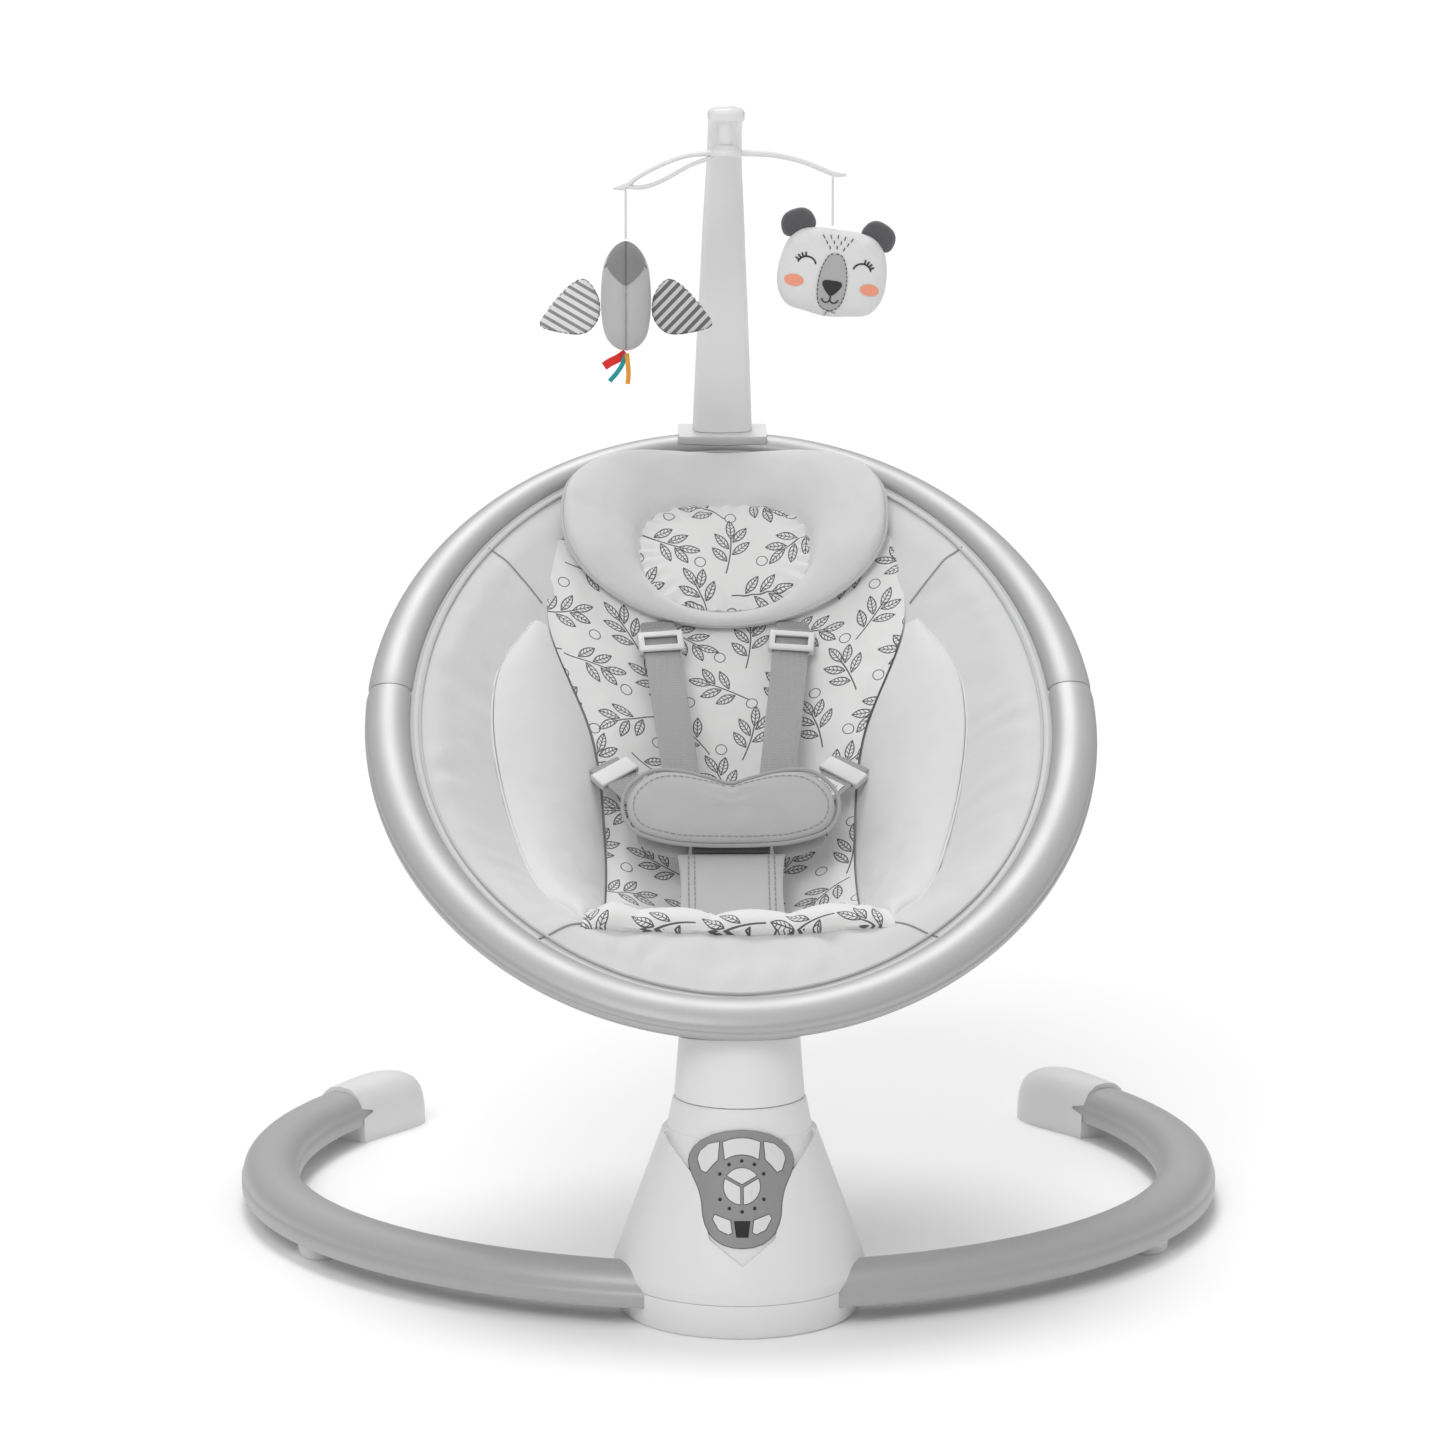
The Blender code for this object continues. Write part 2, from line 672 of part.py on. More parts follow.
def pivot():
    top = -NECK_WALL - GAP
    bottom = top - BEARING_TUBE_LENGTH
    bore = BEARING_RADIUS + GAP
    turned("bearing_tube", [(BEARING_TUBE_RADIUS + 0.010, top), (BEARING_TUBE_RADIUS + 0.010, top - 0.003),
                            (BEARING_TUBE_RADIUS, top - 0.003), (BEARING_TUBE_RADIUS, bottom),
                            (bore, bottom), (bore, top)], grey_plastic(), PIVOT, 20, True)
    inner = SHAFT_RADIUS + GAP
    for name, high in (("upper_bearing", top - 0.004), ("lower_bearing", bottom + 0.004 + BEARING_WIDTH)):
        turned(name, [(BEARING_RADIUS, high), (BEARING_RADIUS, high - BEARING_WIDTH),
                      (inner, high - BEARING_WIDTH), (inner, high)], steel(), PIVOT, 16, True)
    turned("pivot_shaft", [(0, SHAFT_ABOVE), (SHAFT_RADIUS, SHAFT_ABOVE), (SHAFT_RADIUS, -SHAFT_BELOW),
                           (0, -SHAFT_BELOW)], steel(), PIVOT, 16)
    arm_high = bottom - 0.002
    arm = turned("drive_magnet_arm", [(0.012, arm_high), (0.012, arm_high - 0.005), (inner, arm_high - 0.005),
                                      (inner, arm_high)], grey_plastic(), PIVOT, 16, True)
    reach = box("magnet_reach", (0.012, MAGNET_ARM_REACH, 0.004), at=PIVOT,
                offset=(0, 0.011 + MAGNET_ARM_REACH / 2, arm_high - 0.0025))
    join(arm, reach)
    floor = TUBE_LIFT
    turned("drive_coil", [(0, 0.053), (COIL_RADIUS, 0.053), (COIL_RADIUS, 0.041), (0.006, 0.040),
                          (0.006, floor + 0.003), (0.011, floor + 0.003), (0.011, floor), (0, floor)],
           material("copper", (0.55, 0.27, 0.12), 0.35, 1.0), Matrix.Translation((0, COIL_BACK, 0)), 20)


# Control panel --------------------------------------------------------------

PANEL_OUTLINE = rounded(mirrored([(0, 0.0355), (0.018, 0.0330), (0.0285, 0.0270), (0.0320, 0.0187),
                                  (0.0298, 0.0095),
                                  (0.0262, 0.0010), (0.0243, -0.0075), (0.0236, -0.0160), (0.0203, -0.0255),
                                  (0.0120, -0.0330), (0, -0.0355)]))
UPPER_BUTTON = [(0.0135, 0.0286), (0.0200, 0.0275), (0.0250, 0.0235), (0.0266, 0.0190), (0.0245, 0.0120),
                (0.0215, 0.0105), (0.0175, 0.0150), (0.0145, 0.0178)]
LOWER_BUTTON = [(0.0165, -0.0152), (0.0177, -0.0178), (0.0140, -0.0245), (0.0085, -0.0272), (0.0063, -0.0262),
                (0.0072, -0.0190)]
WINDOW_OUTLINE = [(0.0046, -0.0195), (0.0034, -0.0288), (-0.0034, -0.0288), (-0.0046, -0.0195)]


def arc(radius, start, end, steps, middle=(0, DIAL_HEIGHT)):
    points = []
    for step in range(steps + 1):
        angle = math.radians(start + (end - start) * step / steps)
        points.append((middle[0] + radius * math.cos(angle), middle[1] + radius * math.sin(angle)))
    return points


def dial_sector(facing):
    """A third of the round group, less half a divider on each side."""
    corner = DIAL_SPLIT / 2 / math.sin(math.radians(60))
    angle = math.radians(facing)
    spare = math.degrees(DIAL_SPLIT / 2 / DIAL_RADIUS)
    tip = (corner * math.cos(angle), DIAL_HEIGHT + corner * math.sin(angle))
    return [tip, *arc(DIAL_RADIUS, facing - 60 + spare, facing + 60 - spare, 8)]


def top_button():
    return arc(0.0290, 67, 113, 6) + arc(0.0192, 122, 58, 6)


BUTTONS = {
    "button_upper_left": [(-x, y) for x, y in UPPER_BUTTON],
    "button_upper_middle": top_button(),
    "button_upper_right": UPPER_BUTTON,
    "button_dial_top": dial_sector(90),
    "button_dial_left": dial_sector(210),
    "button_dial_right": dial_sector(330),
    "button_lower_left": [(-x, y) for x, y in LOWER_BUTTON],
    "button_lower_right": LOWER_BUTTON,
}
LIGHT_ANGLES = [30 * k for k in range(12) if k not in (0, 6)]


def panel_cone(name, rise, wall, paint):
    """A thick turned cone whose surface stands this far proud of the panel's own."""
    slope = math.tan(math.radians(PANEL_SLOPE))
    half = 0.045
    outer = PANEL_RADIUS + rise / math.cos(math.radians(PANEL_SLOPE))
    inner = outer - wall / math.cos(math.radians(PANEL_SLOPE))
    return turned(name, [(outer - half * slope, PANEL_HEIGHT + half),
                         (outer + half * slope, PANEL_HEIGHT - half),
                         (inner + half * slope, PANEL_HEIGHT - half),
                         (inner - half * slope, PANEL_HEIGHT + half)],
                  paint, steps=64, closed=True)


def control_panel():
    panel = panel_cone("control_panel", 0, PANEL_WALL, material("panel_grey", (0.30, 0.30, 0.31), 0.45))
    keep(panel, slab("panel_shape", [PANEL_OUTLINE], -0.03, 0.01, at=PANEL))
    board_top = -BOARD_DEPTH
    for side in (-1, 1):
        join(panel, cylinder("panel_post", 0.0022, board_top + GAP, -0.004, at=PANEL,
                             middle=(side * 0.0205, -0.003),
                             steps=12))
    for name, outline in BUTTONS.items():
        cut(panel, slab(name + "_room", [grown(outline, 0.00035)], -0.012, 0.01, at=PANEL))
        button = panel_cone(name, BUTTON_RISE, BUTTON_WALL, material("button_grey", (0.55, 0.55, 0.56), 0.5))
        keep(button, slab(name + "_shape", [outline], -0.025, 0.01, at=PANEL))
    cut(panel, slab("window_room", [grown(WINDOW_OUTLINE, GAP)], -0.008, 0.01, at=PANEL))
    window = panel_cone("display_window", 0.0002, 0.0025, material("display_black", (0.02, 0.02, 0.02), 0.15))
    keep(window, slab("window_shape", [WINDOW_OUTLINE], -0.02, 0.01, at=PANEL))
    light_guide(panel)
    slab("circuit_board", [rounded([(0.021, 0.024), (0.023, -0.012), (0.010, -0.028), (-0.010, -0.028),
                                    (-0.023, -0.012), (-0.021, 0.024)], 1)], board_top - 0.0016, board_top,
         material("board_green", (0.03, 0.16, 0.08), 0.5), PANEL)


def light_guide(panel):
    """A clear ring behind the panel with a pip through it for each light."""
    high = -0.0068
    middle = Matrix.Translation((0, DIAL_HEIGHT, 0))
    guide = turned("led_light_guide", [(LIGHT_RING_RADIUS + 0.0014, high),
                                       (LIGHT_RING_RADIUS + 0.0014, high - 0.002),
                                       (LIGHT_RING_RADIUS - 0.0014, high - 0.002),
                                       (LIGHT_RING_RADIUS - 0.0014, high)],
                   material("light_guide", (0.9, 0.9, 0.88), 0.2), PANEL @ middle, 20, True)
    for angle in LIGHT_ANGLES:
        x, y = arc(LIGHT_RING_RADIUS, angle, angle, 1, (0, 0))[0]
        sag = PANEL_RADIUS - math.sqrt(PANEL_RADIUS ** 2 - x ** 2)
        join(guide, cylinder("light_pip", LIGHT_RADIUS, high - 0.001, 0.0003 - sag, at=PANEL @ middle,
                             middle=(x, y),
                             steps=6))
        cut(panel, cylinder("light_room", LIGHT_RADIUS + GAP, high, 0.004, at=PANEL @ middle, middle=(x, y),
                            steps=6))


# Hoop and its carrier ---------------------------------------------------------

def hoop_scale(turn):
    """The section slims towards the head."""
    return 1 - HOOP_HEAD_SLIM * max(math.sin(turn), 0) ** 2


def hoop_rim(turn, inset):
    """A point in the hoop's plane, in from its outer edge."""
    edge = Vector((HOOP_HALF_WIDTH * math.cos(turn), HOOP_HALF_LENGTH * math.sin(turn)))
    normal = Vector((math.cos(turn) / HOOP_HALF_WIDTH, math.sin(turn) / HOOP_HALF_LENGTH)).normalized()
    return edge - normal * inset


def hoop_section(margin=0.0):
    """A rounded tube with a lip along its lower outer edge."""
    half = HOOP_TUBE_WIDTH / 2
    deep = HOOP_TUBE_THICKNESS / 2
    outline = [(-0.55 * half, -deep), (0.55 * half, -deep), (0.86 * half, -0.82 * deep), (half, -0.42 * deep),
               (half, -0.10 * deep), (0.92 * half, 0.06 * deep), (0.89 * half, 0.26 * deep),
               (0.76 * half, 0.60 * deep),
               (0.45 * half, 0.90 * deep), (0, deep), (-0.45 * half, 0.90 * deep),
               (-0.82 * half, 0.60 * deep),
               (-half, 0.05 * deep), (-0.88 * half, -0.60 * deep)]
    return grown(outline, margin) if margin else outline


def hoop_path(start, end, steps):
    """The tube's middle line, with a short straight stretch at each end so that the ends meet squarely."""
    path, scales = [], []
    stretch = 0.4
    turns = [start, *(start + (end - start) * step / steps for step in range(1, steps)), end]
    turns[1:1] = [start + stretch]
    turns[-1:-1] = [end - stretch]
    for turn in map(math.radians, turns):
        scale = hoop_scale(turn)
        x, s = hoop_rim(turn, HOOP_TUBE_WIDTH / 2 * scale)
        path.append((x, s, 0))
        scales.append(scale)
    return path, scales


def hoop():
    seam = math.degrees(math.asin(HOOP_SEAM / HOOP_HALF_LENGTH))
    spare = math.degrees(GAP / 2 / HOOP_HALF_LENGTH)
    rooms = []
    for name, start, end in (("hoop_lower_tube", 180 - seam + spare, 360 + seam - spare),
                             ("hoop_upper_tube", seam + spare, 180 - seam - spare)):
        path, scales = hoop_path(start, end, HOOP_STEPS)
        sweep(name, path, hoop_section(), silver_tube(), SEAT, scales)
        rooms.append(sweep(name + "_room", path, hoop_section(GAP * 1.5), None, SEAT, scales))
    return rooms


def swing_carrier(hoop_room):
    """The turntable on the neck, with a saddle that grips the hoop's front."""
    saddle = NECK_TOP_RADIUS - 0.003
    disc = NECK_TOP_RADIUS + 0.0004
    lift = 0.0008
    carrier = turned("swing_carrier", [(0, 0.065), (saddle, 0.065), (saddle, 0.0052), (disc, 0.0048),
                                       (disc, lift),
                                       (SHAFT_RADIUS + GAP, lift), (SHAFT_RADIUS + GAP, SHAFT_ABOVE + GAP),
                                       (0, SHAFT_ABOVE + GAP)], grey_plastic(), PIVOT, 40)
    inner = HOOP_HALF_LENGTH - HOOP_TUBE_WIDTH
    size = 0.4
    cut(carrier, box("above_hoop", (size, size, size), at=SEAT, offset=(0, -inner, size / 2 - 0.003)))
    cut(carrier, box("under_sling", (size, size, size), at=SEAT,
                     offset=(0, size / 2 - inner - 0.002, size / 2 - 0.021)))
    return cut(carrier, hoop_room)


def arm_top_frame():
    outer = SEAT @ Vector((0, HOOP_HALF_LENGTH - 0.002, 0))
    up = leaning(-ARM_LEAN)
    return frame(outer + up * 0.006, (1, 0, 0), up)


ARM = arm_top_frame()


def arm_clamp(hoop_room):
    """A saddle over the hoop's head, with a tang that the toy arm slides over."""
    head = HOOP_TUBE_WIDTH * (1 - HOOP_HEAD_SLIM)
    low = HOOP_HALF_LENGTH - head + 0.0015
    high = HOOP_HALF_LENGTH + 0.008
    clamp = box("arm_clamp", (CLAMP_WIDTH, high - low, 0.022), white_plastic(), SEAT,
                offset=(0, (low + high) / 2, 0.0005), bevel=0.0025)
    join(clamp, box("clamp_boss", (0.056, 0.026, 0.016), at=ARM, offset=(0, -0.003, -0.008), bevel=0.002))
    cut(clamp, box("above_clamp", (0.2, 0.2, 0.1), at=ARM, offset=(0, 0, 0.05)))
    tang_wide, tang_deep = ARM_TANG
    reach = ARM_SOCKET_DEPTH - 0.001
    join(clamp, box("clamp_tang", (tang_wide, tang_deep, reach + 0.003), at=ARM,
                    offset=(0, 0, (reach - 0.003) / 2), bevel=0.001))
    return cut(clamp, hoop_room)


# Soft pieces ----------------------------------------------------------------

SEAT_PROFILE = [(-0.282, 0.0), (-0.245, -0.008), (-0.212, -0.012), (-0.180, -0.044), (-0.145, -0.090),
                (-0.105, -0.118),
                (-0.060, -0.125), (0.000, -0.114), (0.080, -0.088), (0.170, -0.056), (0.235, -0.030),
                (0.289, 0.0)]
LINER_HALF_WIDTHS = [(-0.206, 0.088), (-0.110, 0.085), (-0.030, 0.086), (0.050, 0.094), (0.128, 0.124),
                     (0.200, 0.118)]
WING_OUTER = [(-0.204, 0.094), (-0.150, 0.117), (-0.085, 0.137), (-0.020, 0.152), (0.030, 0.157),
              (0.075, 0.152),
              (0.128, 0.129)]


def curve_through(points, value):
    """Read a smooth curve through (place, amount) points, with the slope shared at each point."""
    places = [place_ for place_, _ in points]
    index = min(max(sum(value > place_ for place_ in places) - 1, 0), len(points) - 2)
    (x0, y0), (x1, y1) = points[index], points[index + 1]

    def slope(here):
        before, after = points[max(here - 1, 0)], points[min(here + 1, len(points) - 1)]
        return (after[1] - before[1]) / (after[0] - before[0])

    width = x1 - x0
    t = min(max((value - x0) / width, 0.0), 1.0)
    return ((1 + 2 * t) * (1 - t) ** 2 * y0 + t * (1 - t) ** 2 * width * slope(index)
            + t * t * (3 - 2 * t) * y1 + t * t * (t - 1) * width * slope(index + 1))


def sling_half_length(s):
    head = HOOP_TUBE_WIDTH * (1 - HOOP_HEAD_SLIM)
    return HOOP_HALF_LENGTH - (head if s > 0 else HOOP_TUBE_WIDTH) - SOFT_GAP


SLING_HALF_WIDTH = HOOP_HALF_WIDTH - HOOP_TUBE_WIDTH - SOFT_GAP


def sling_rim_share():
    """The share of its oval that the sling fills, to stay clear of the flat facets of the tube's inner edge."""
    shares = [1.0]
    half_step = 90 / HOOP_STEPS + 1
    for middle in range(0, 360, 3):
        ends = []
        for turn in (math.radians(middle - half_step), math.radians(middle + half_step)):
            ends.append(hoop_rim(turn, HOOP_TUBE_WIDTH * hoop_scale(turn) + GAP))
        x, s = (ends[0] + ends[1]) / 2
        shares.append(math.hypot(x / SLING_HALF_WIDTH, s / sling_half_length(s)))
    return min(shares)


SLING_RIM_SHARE = sling_rim_share()


def sling_height(x, s):
    """The bucket's upper surface, out of the hoop's plane."""
    room = 1 - (s / sling_half_length(s)) ** 2
    if room <= 0:
        return 0.0
    across = min(abs(x) / (SLING_HALF_WIDTH * math.sqrt(room)), 1.0)
    return curve_through(SEAT_PROFILE, s) * (1 - across ** 2) ** 1.3


def raised(x, s, amount):
    """The sling's height moved out along its own normal by about this amount."""
    reach = 0.003
    along = (sling_height(x, s + reach) - sling_height(x, s - reach)) / (2 * reach)
    across = (sling_height(x + reach, s) - sling_height(x - reach, s)) / (2 * reach)
    return sling_height(x, s) + amount * math.hypot(1, along, across)


def liner_height(x, s):
    """The upper surface of the sling with the liner on it."""
    half = curve_through(LINER_HALF_WIDTHS, s)
    edge = 1 - blend(0.72, 1.0, abs(x) / half) * 0.55
    fold = 1 + 0.6 * blend(0.030, 0.0, abs(s + 0.188))
    inside = 1.0 if LINER_FRONT <= s <= LINER_BACK else 0.0
    return raised(x, s, SOFT_GAP) + LINER_THICKNESS * edge * fold * inside


def crowded(v, power):
    """Rows set closer together towards the front, where the bucket turns down sharply."""
    return 2 * ((v + 1) / 2) ** power - 1


def disc_point(u, v):
    """Map a square to a round region, its inner squares to inner circles."""
    length = math.hypot(u, v)
    share = max(abs(u), abs(v)) / length if length else 0
    return u * share, v * share


def seat_sling():
    def spot(u, v):
        v = crowded(v, 1.3)
        x = u * math.sqrt(1 - v * v / 2)
        s = v * math.sqrt(1 - u * u / 2)
        return x * SLING_HALF_WIDTH * SLING_RIM_SHARE, s * sling_half_length(s) * SLING_RIM_SHARE

    def over(u, v):
        x, s = spot(u, v)
        return x, s, sling_height(x, s)

    def under(u, v):
        x, s = spot(u, v)
        return x, s, raised(x, s, -SLING_THICKNESS)

    return pad("seat_sling", over, under, 18, 32, grey_fabric())


def seat_liner():
    def spot(u, v):
        s = LINER_FRONT + (LINER_BACK - LINER_FRONT) * (crowded(v, 1.2) + 1) / 2
        return u * (curve_through(LINER_HALF_WIDTHS, s) - 0.001), s

    def over(u, v):
        x, s = spot(u, v)
        return x, s, liner_height(x, s)

    def under(u, v):
        x, s = spot(u, v)
        return x, s, raised(x, s, SOFT_GAP)

    return pad("seat_liner", over, under, 10, 24, patterned_fabric())


def wing(side, sign):
    def spot(u, v):
        s = WING_FRONT + (WING_BACK - WING_FRONT) * (v + 1) / 2
        inner = curve_through(LINER_HALF_WIDTHS, s) + 0.0005
        outer = max(curve_through(WING_OUTER, s), inner + 0.004)
        return sign * (inner + (outer - inner) * (u + 1) / 2), s, (u + 1) / 2

    def over(u, v):
        x, s, share = spot(u, v)
        round_off = (1 - abs(2 * share - 1) ** 3) * (1 - abs(v) ** 4)
        return x, s, raised(x, s, SOFT_GAP) + 0.004 + WING_THICKNESS * round_off

    def under(u, v):
        x, s, _ = spot(u, v)
        return x, s, raised(x, s, 1.2 * SOFT_GAP)

    return pad("wing_" + side, over, under, 4, 14, pale_fabric())


def pillow_spot(u, v, share=1.0):
    x, s = disc_point(u, v)
    return x * PILLOW_HALF_WIDTH * share, PILLOW_MIDDLE + s * PILLOW_HALF_LENGTH * share


def pillow_height(x, s):
    across = math.hypot(x / PILLOW_HALF_WIDTH, (s - PILLOW_MIDDLE) / PILLOW_HALF_LENGTH)
    dish = blend(PILLOW_DISH - PILLOW_RING, PILLOW_DISH, across)
    rim = 1 - 0.75 * blend(1 - PILLOW_RING, 1.0, across)
    return pillow_base(x, s) + 0.006 + PILLOW_THICKNESS * dish * rim


def pillow_base(x, s):
    """The pillow lies on the liner and rises clear of the hoop's head."""
    return raised(x, s, SOFT_GAP) + LINER_THICKNESS + SOFT_GAP


def head_pillow():
    def over(u, v):
        x, s = pillow_spot(u, v)
        return x, s, pillow_height(x, s)

    def under(u, v):
        x, s = pillow_spot(u, v)
        return x, s, pillow_base(x, s)

    pad("head_pillow", over, under, 12, 12, pale_fabric())

    def insert_under(u, v):
        x, s = pillow_spot(u, v, PILLOW_DISH - PILLOW_RING)
        return x, s, pillow_height(x, s) + SOFT_GAP

    def insert_over(u, v):
        x, s, height = insert_under(u, v)
        return x, s, height + 0.004 + 0.005 * (1 - max(abs(u), abs(v)) ** 3)

    pad("pillow_insert", insert_over, insert_under, 6, 6, patterned_fabric())


# Harness --------------------------------------------------------------------

def bar_frame(start, end, up=(0, 0, 1)):
    """A frame in the seat with Y along a strap and Z out of its face."""
    start, end = Vector(start), Vector(end)
    along = (end - start).normalized()
    normal = Vector(up) - along * along.dot(Vector(up))
    matrix = frame(start, along.cross(normal), normal)
    return SEAT @ matrix, (end - start).length


def shoulder_frame(sign):
    x, s = SHOULDER_TOP
    outer = x + WEBBING_WIDTH / 2 + 0.0035
    top = Vector((sign * x, s, liner_height(outer, s) + WEBBING_THICKNESS / 2 + 0.0025))
    end_x, end_s, end_n = SHOULDER_END
    return bar_frame(top, (sign * end_x, end_s, end_n))


def strap_box(name, at, length, width=WEBBING_WIDTH):
    return box(name, (width, length, WEBBING_THICKNESS), webbing(), at, offset=(0, length / 2, 0))


def shoulder(side, sign):
    at, length = shoulder_frame(sign)
    strap = strap_box("shoulder_strap_" + side, at, length)
    root = 0.0027
    join(strap, box("strap_root", (WEBBING_WIDTH, WEBBING_THICKNESS, root), at=at,
                    offset=(0, WEBBING_THICKNESS / 2, -root / 2)))
    room = WEBBING_THICKNESS + 2 * 0.0004
    outer = (WEBBING_WIDTH + 0.007, SLIDER_LENGTH, room + 0.003)
    middle = (0, SLIDER_REACH + 0.002, 0)
    slider = box("shoulder_slider_" + side, outer, material("slider", (0.70, 0.70, 0.70), 0.4), at, middle,
                 0.0012)
    cut(slider, box("webbing_room", (WEBBING_WIDTH + 0.0008, 0.04, room), at=at, offset=middle))
    cut(slider, box("slider_window", (0.023, 0.0085, 0.01), at=at, offset=(0, middle[1], 0.006)))


def waist(side, sign):
    edge_x, edge_s, top_height = WAIST_EDGE
    corner_s, end_height = WAIST_CORNER
    corner_x = BUCKLE_SIZE[0] / 2 + GAP
    turn = math.radians(WAIST_TURN)
    for _ in range(6):
        half_x, half_s = WEBBING_WIDTH / 2 * math.sin(turn), WEBBING_WIDTH / 2 * math.cos(turn)
        top_x, top_s = edge_x - half_x, edge_s + half_s
        end_x, end_s = corner_x + half_x, corner_s - half_s
        turn = math.atan2(top_s - end_s, top_x - end_x)
    at, length = bar_frame((sign * top_x, top_s, top_height), (sign * end_x, end_s, end_height))
    strap_box("waist_strap_" + side, at, length)
    room = WEBBING_THICKNESS + 2 * 0.0004
    keeper = box("waist_keeper_" + side, (WEBBING_WIDTH + 0.007, 0.014, room + 0.003),
                 material("slider", (0.70, 0.70, 0.70), 0.4), at, (0, 0.012, 0), 0.0012)
    cut(keeper, box("waist_webbing_room", (WEBBING_WIDTH + 0.0008, 0.04, room), at=at, offset=(0, 0.012, 0)))


BELLY = SEAT @ Matrix.Translation((0, *BELLY_MIDDLE)) @ Matrix.Rotation(math.radians(BELLY_TILT), 4, "X")


def belly_pad():
    half = [(0, 0.0175), (0.014, 0.0215), (0.035, 0.0268), (0.054, 0.0262), (0.0685, 0.0140),
            (0.0718, -0.0020),
            (0.0640, -0.0165), (0.0420, -0.0245), (0.0200, -0.0268), (0, -0.0272)]
    pad_obj = slab("belly_pad", [rounded(mirrored(half), 2)], -BELLY_THICKNESS / 2, BELLY_THICKNESS / 2,
                   material("belly_grey", (0.36, 0.36, 0.37), 0.9), BELLY)
    bevel = pad_obj.modifiers.new("soften", "BEVEL")
    bevel.width = 0.004
    bevel.segments = 2
    wide, long, deep = BUCKLE_SIZE
    top = -BELLY_THICKNESS / 2 - 0.0005
    middle = (0, 0.0075 - long / 2, top - deep / 2)
    buckle = box("buckle_body", BUCKLE_SIZE, grey_plastic(), BELLY, middle, 0.002)
    button = (0.018, 0.014, 0.006)
    depth = button[2] + BUCKLE_PRESS + 0.0005
    hole = (button[0] + 2 * GAP, button[1] + 2 * GAP, 2 * depth)
    cut(buckle, box("buckle_button_room", hole, at=BELLY, offset=(0, middle[1], top)))
    box("buckle_button", button, material("button_grey", (0.55, 0.55, 0.56), 0.5), BELLY,
        (0, middle[1], top - button[2] / 2))


def crotch_pad():
    front_s, front_n = CROTCH_FRONT
    top_s, top_n = CROTCH_TOP
    at, length = bar_frame((0, front_s, front_n), (0, top_s, top_n))
    obj = box("crotch_pad", (CROTCH_WIDTH, length, CROTCH_THICKNESS),
              material("belly_grey", (0.36, 0.36, 0.37), 0.9),
              at, (0, length / 2, 0), 0.0025)
    return obj


# Toy arm --------------------------------------------------------------------

def toy_arm():
    """A post that leans forward and hooks over, lofted from rounded sections, with a socket in its foot."""
    foot_place = ARM.translation
    route = [(foot_place.y, foot_place.z, 0.0215, 0.0110), (0.458, 0.570, 0.0192, 0.0098),
             (0.441, 0.625, 0.0165, 0.0088), (0.427, 0.668, 0.0145, 0.0080), (0.416, 0.697, 0.0128, 0.0076),
             (0.404, 0.7155, 0.0122, 0.0074), (0.388, 0.7285, 0.0118, 0.0070),
             (0.368, 0.7350, 0.0122, 0.0064),
             (MOBILE_BACK + 0.004, 0.7365, 0.0128, 0.0058), (MOBILE_BACK - 0.008, 0.7350, 0.0105, 0.0045)]
    sections = []
    for number, (y, z, half_wide, half_deep) in enumerate(route):
        before, after = route[max(number - 1, 0)], route[min(number + 1, len(route) - 1)]
        along = Vector((0, after[0] - before[0], after[1] - before[1])).normalized()
        if number == 0:
            along = leaning(-ARM_LEAN)
        across = Vector((1, 0, 0))
        deep = along.cross(across)
        ring = []
        for step in range(14):
            turn = 2 * math.pi * step / 14
            c, s = math.cos(turn), math.sin(turn)
            ring.append(Vector((0, y, z)) + across * half_wide * math.copysign(abs(c) ** 0.6, c)
                        + deep * half_deep * math.copysign(abs(s) ** 0.6, s))
        sections.append(ring)
    lift = ARM.to_3x3() @ Vector((0, 0, GAP))
    sections[0] = [point + lift for point in sections[0]]
    arm = loft("toy_arm", sections, white_plastic())
    tang_wide, tang_deep = ARM_TANG
    cut(arm, box("tang_room", (tang_wide + 2 * GAP, tang_deep + 2 * GAP, ARM_SOCKET_DEPTH * 2), at=ARM))
    stem = cylinder("arm_stem", STEM_RADIUS, HUB_TOP + 0.0005, 0.7355, middle=(0, MOBILE_BACK), steps=16)
    return join(arm, stem)


def bar_loft(name, route):
    """A slim bar through (x, y, z, half width, half height) places."""
    sections = []
    for x, y, z, half_wide, half_high in route:
        sections.append([(x, y + half_wide * math.cos(t), z + half_high * math.sin(t))
                         for t in (2 * math.pi * step / 10 for step in range(10))])
    return loft(name, sections)


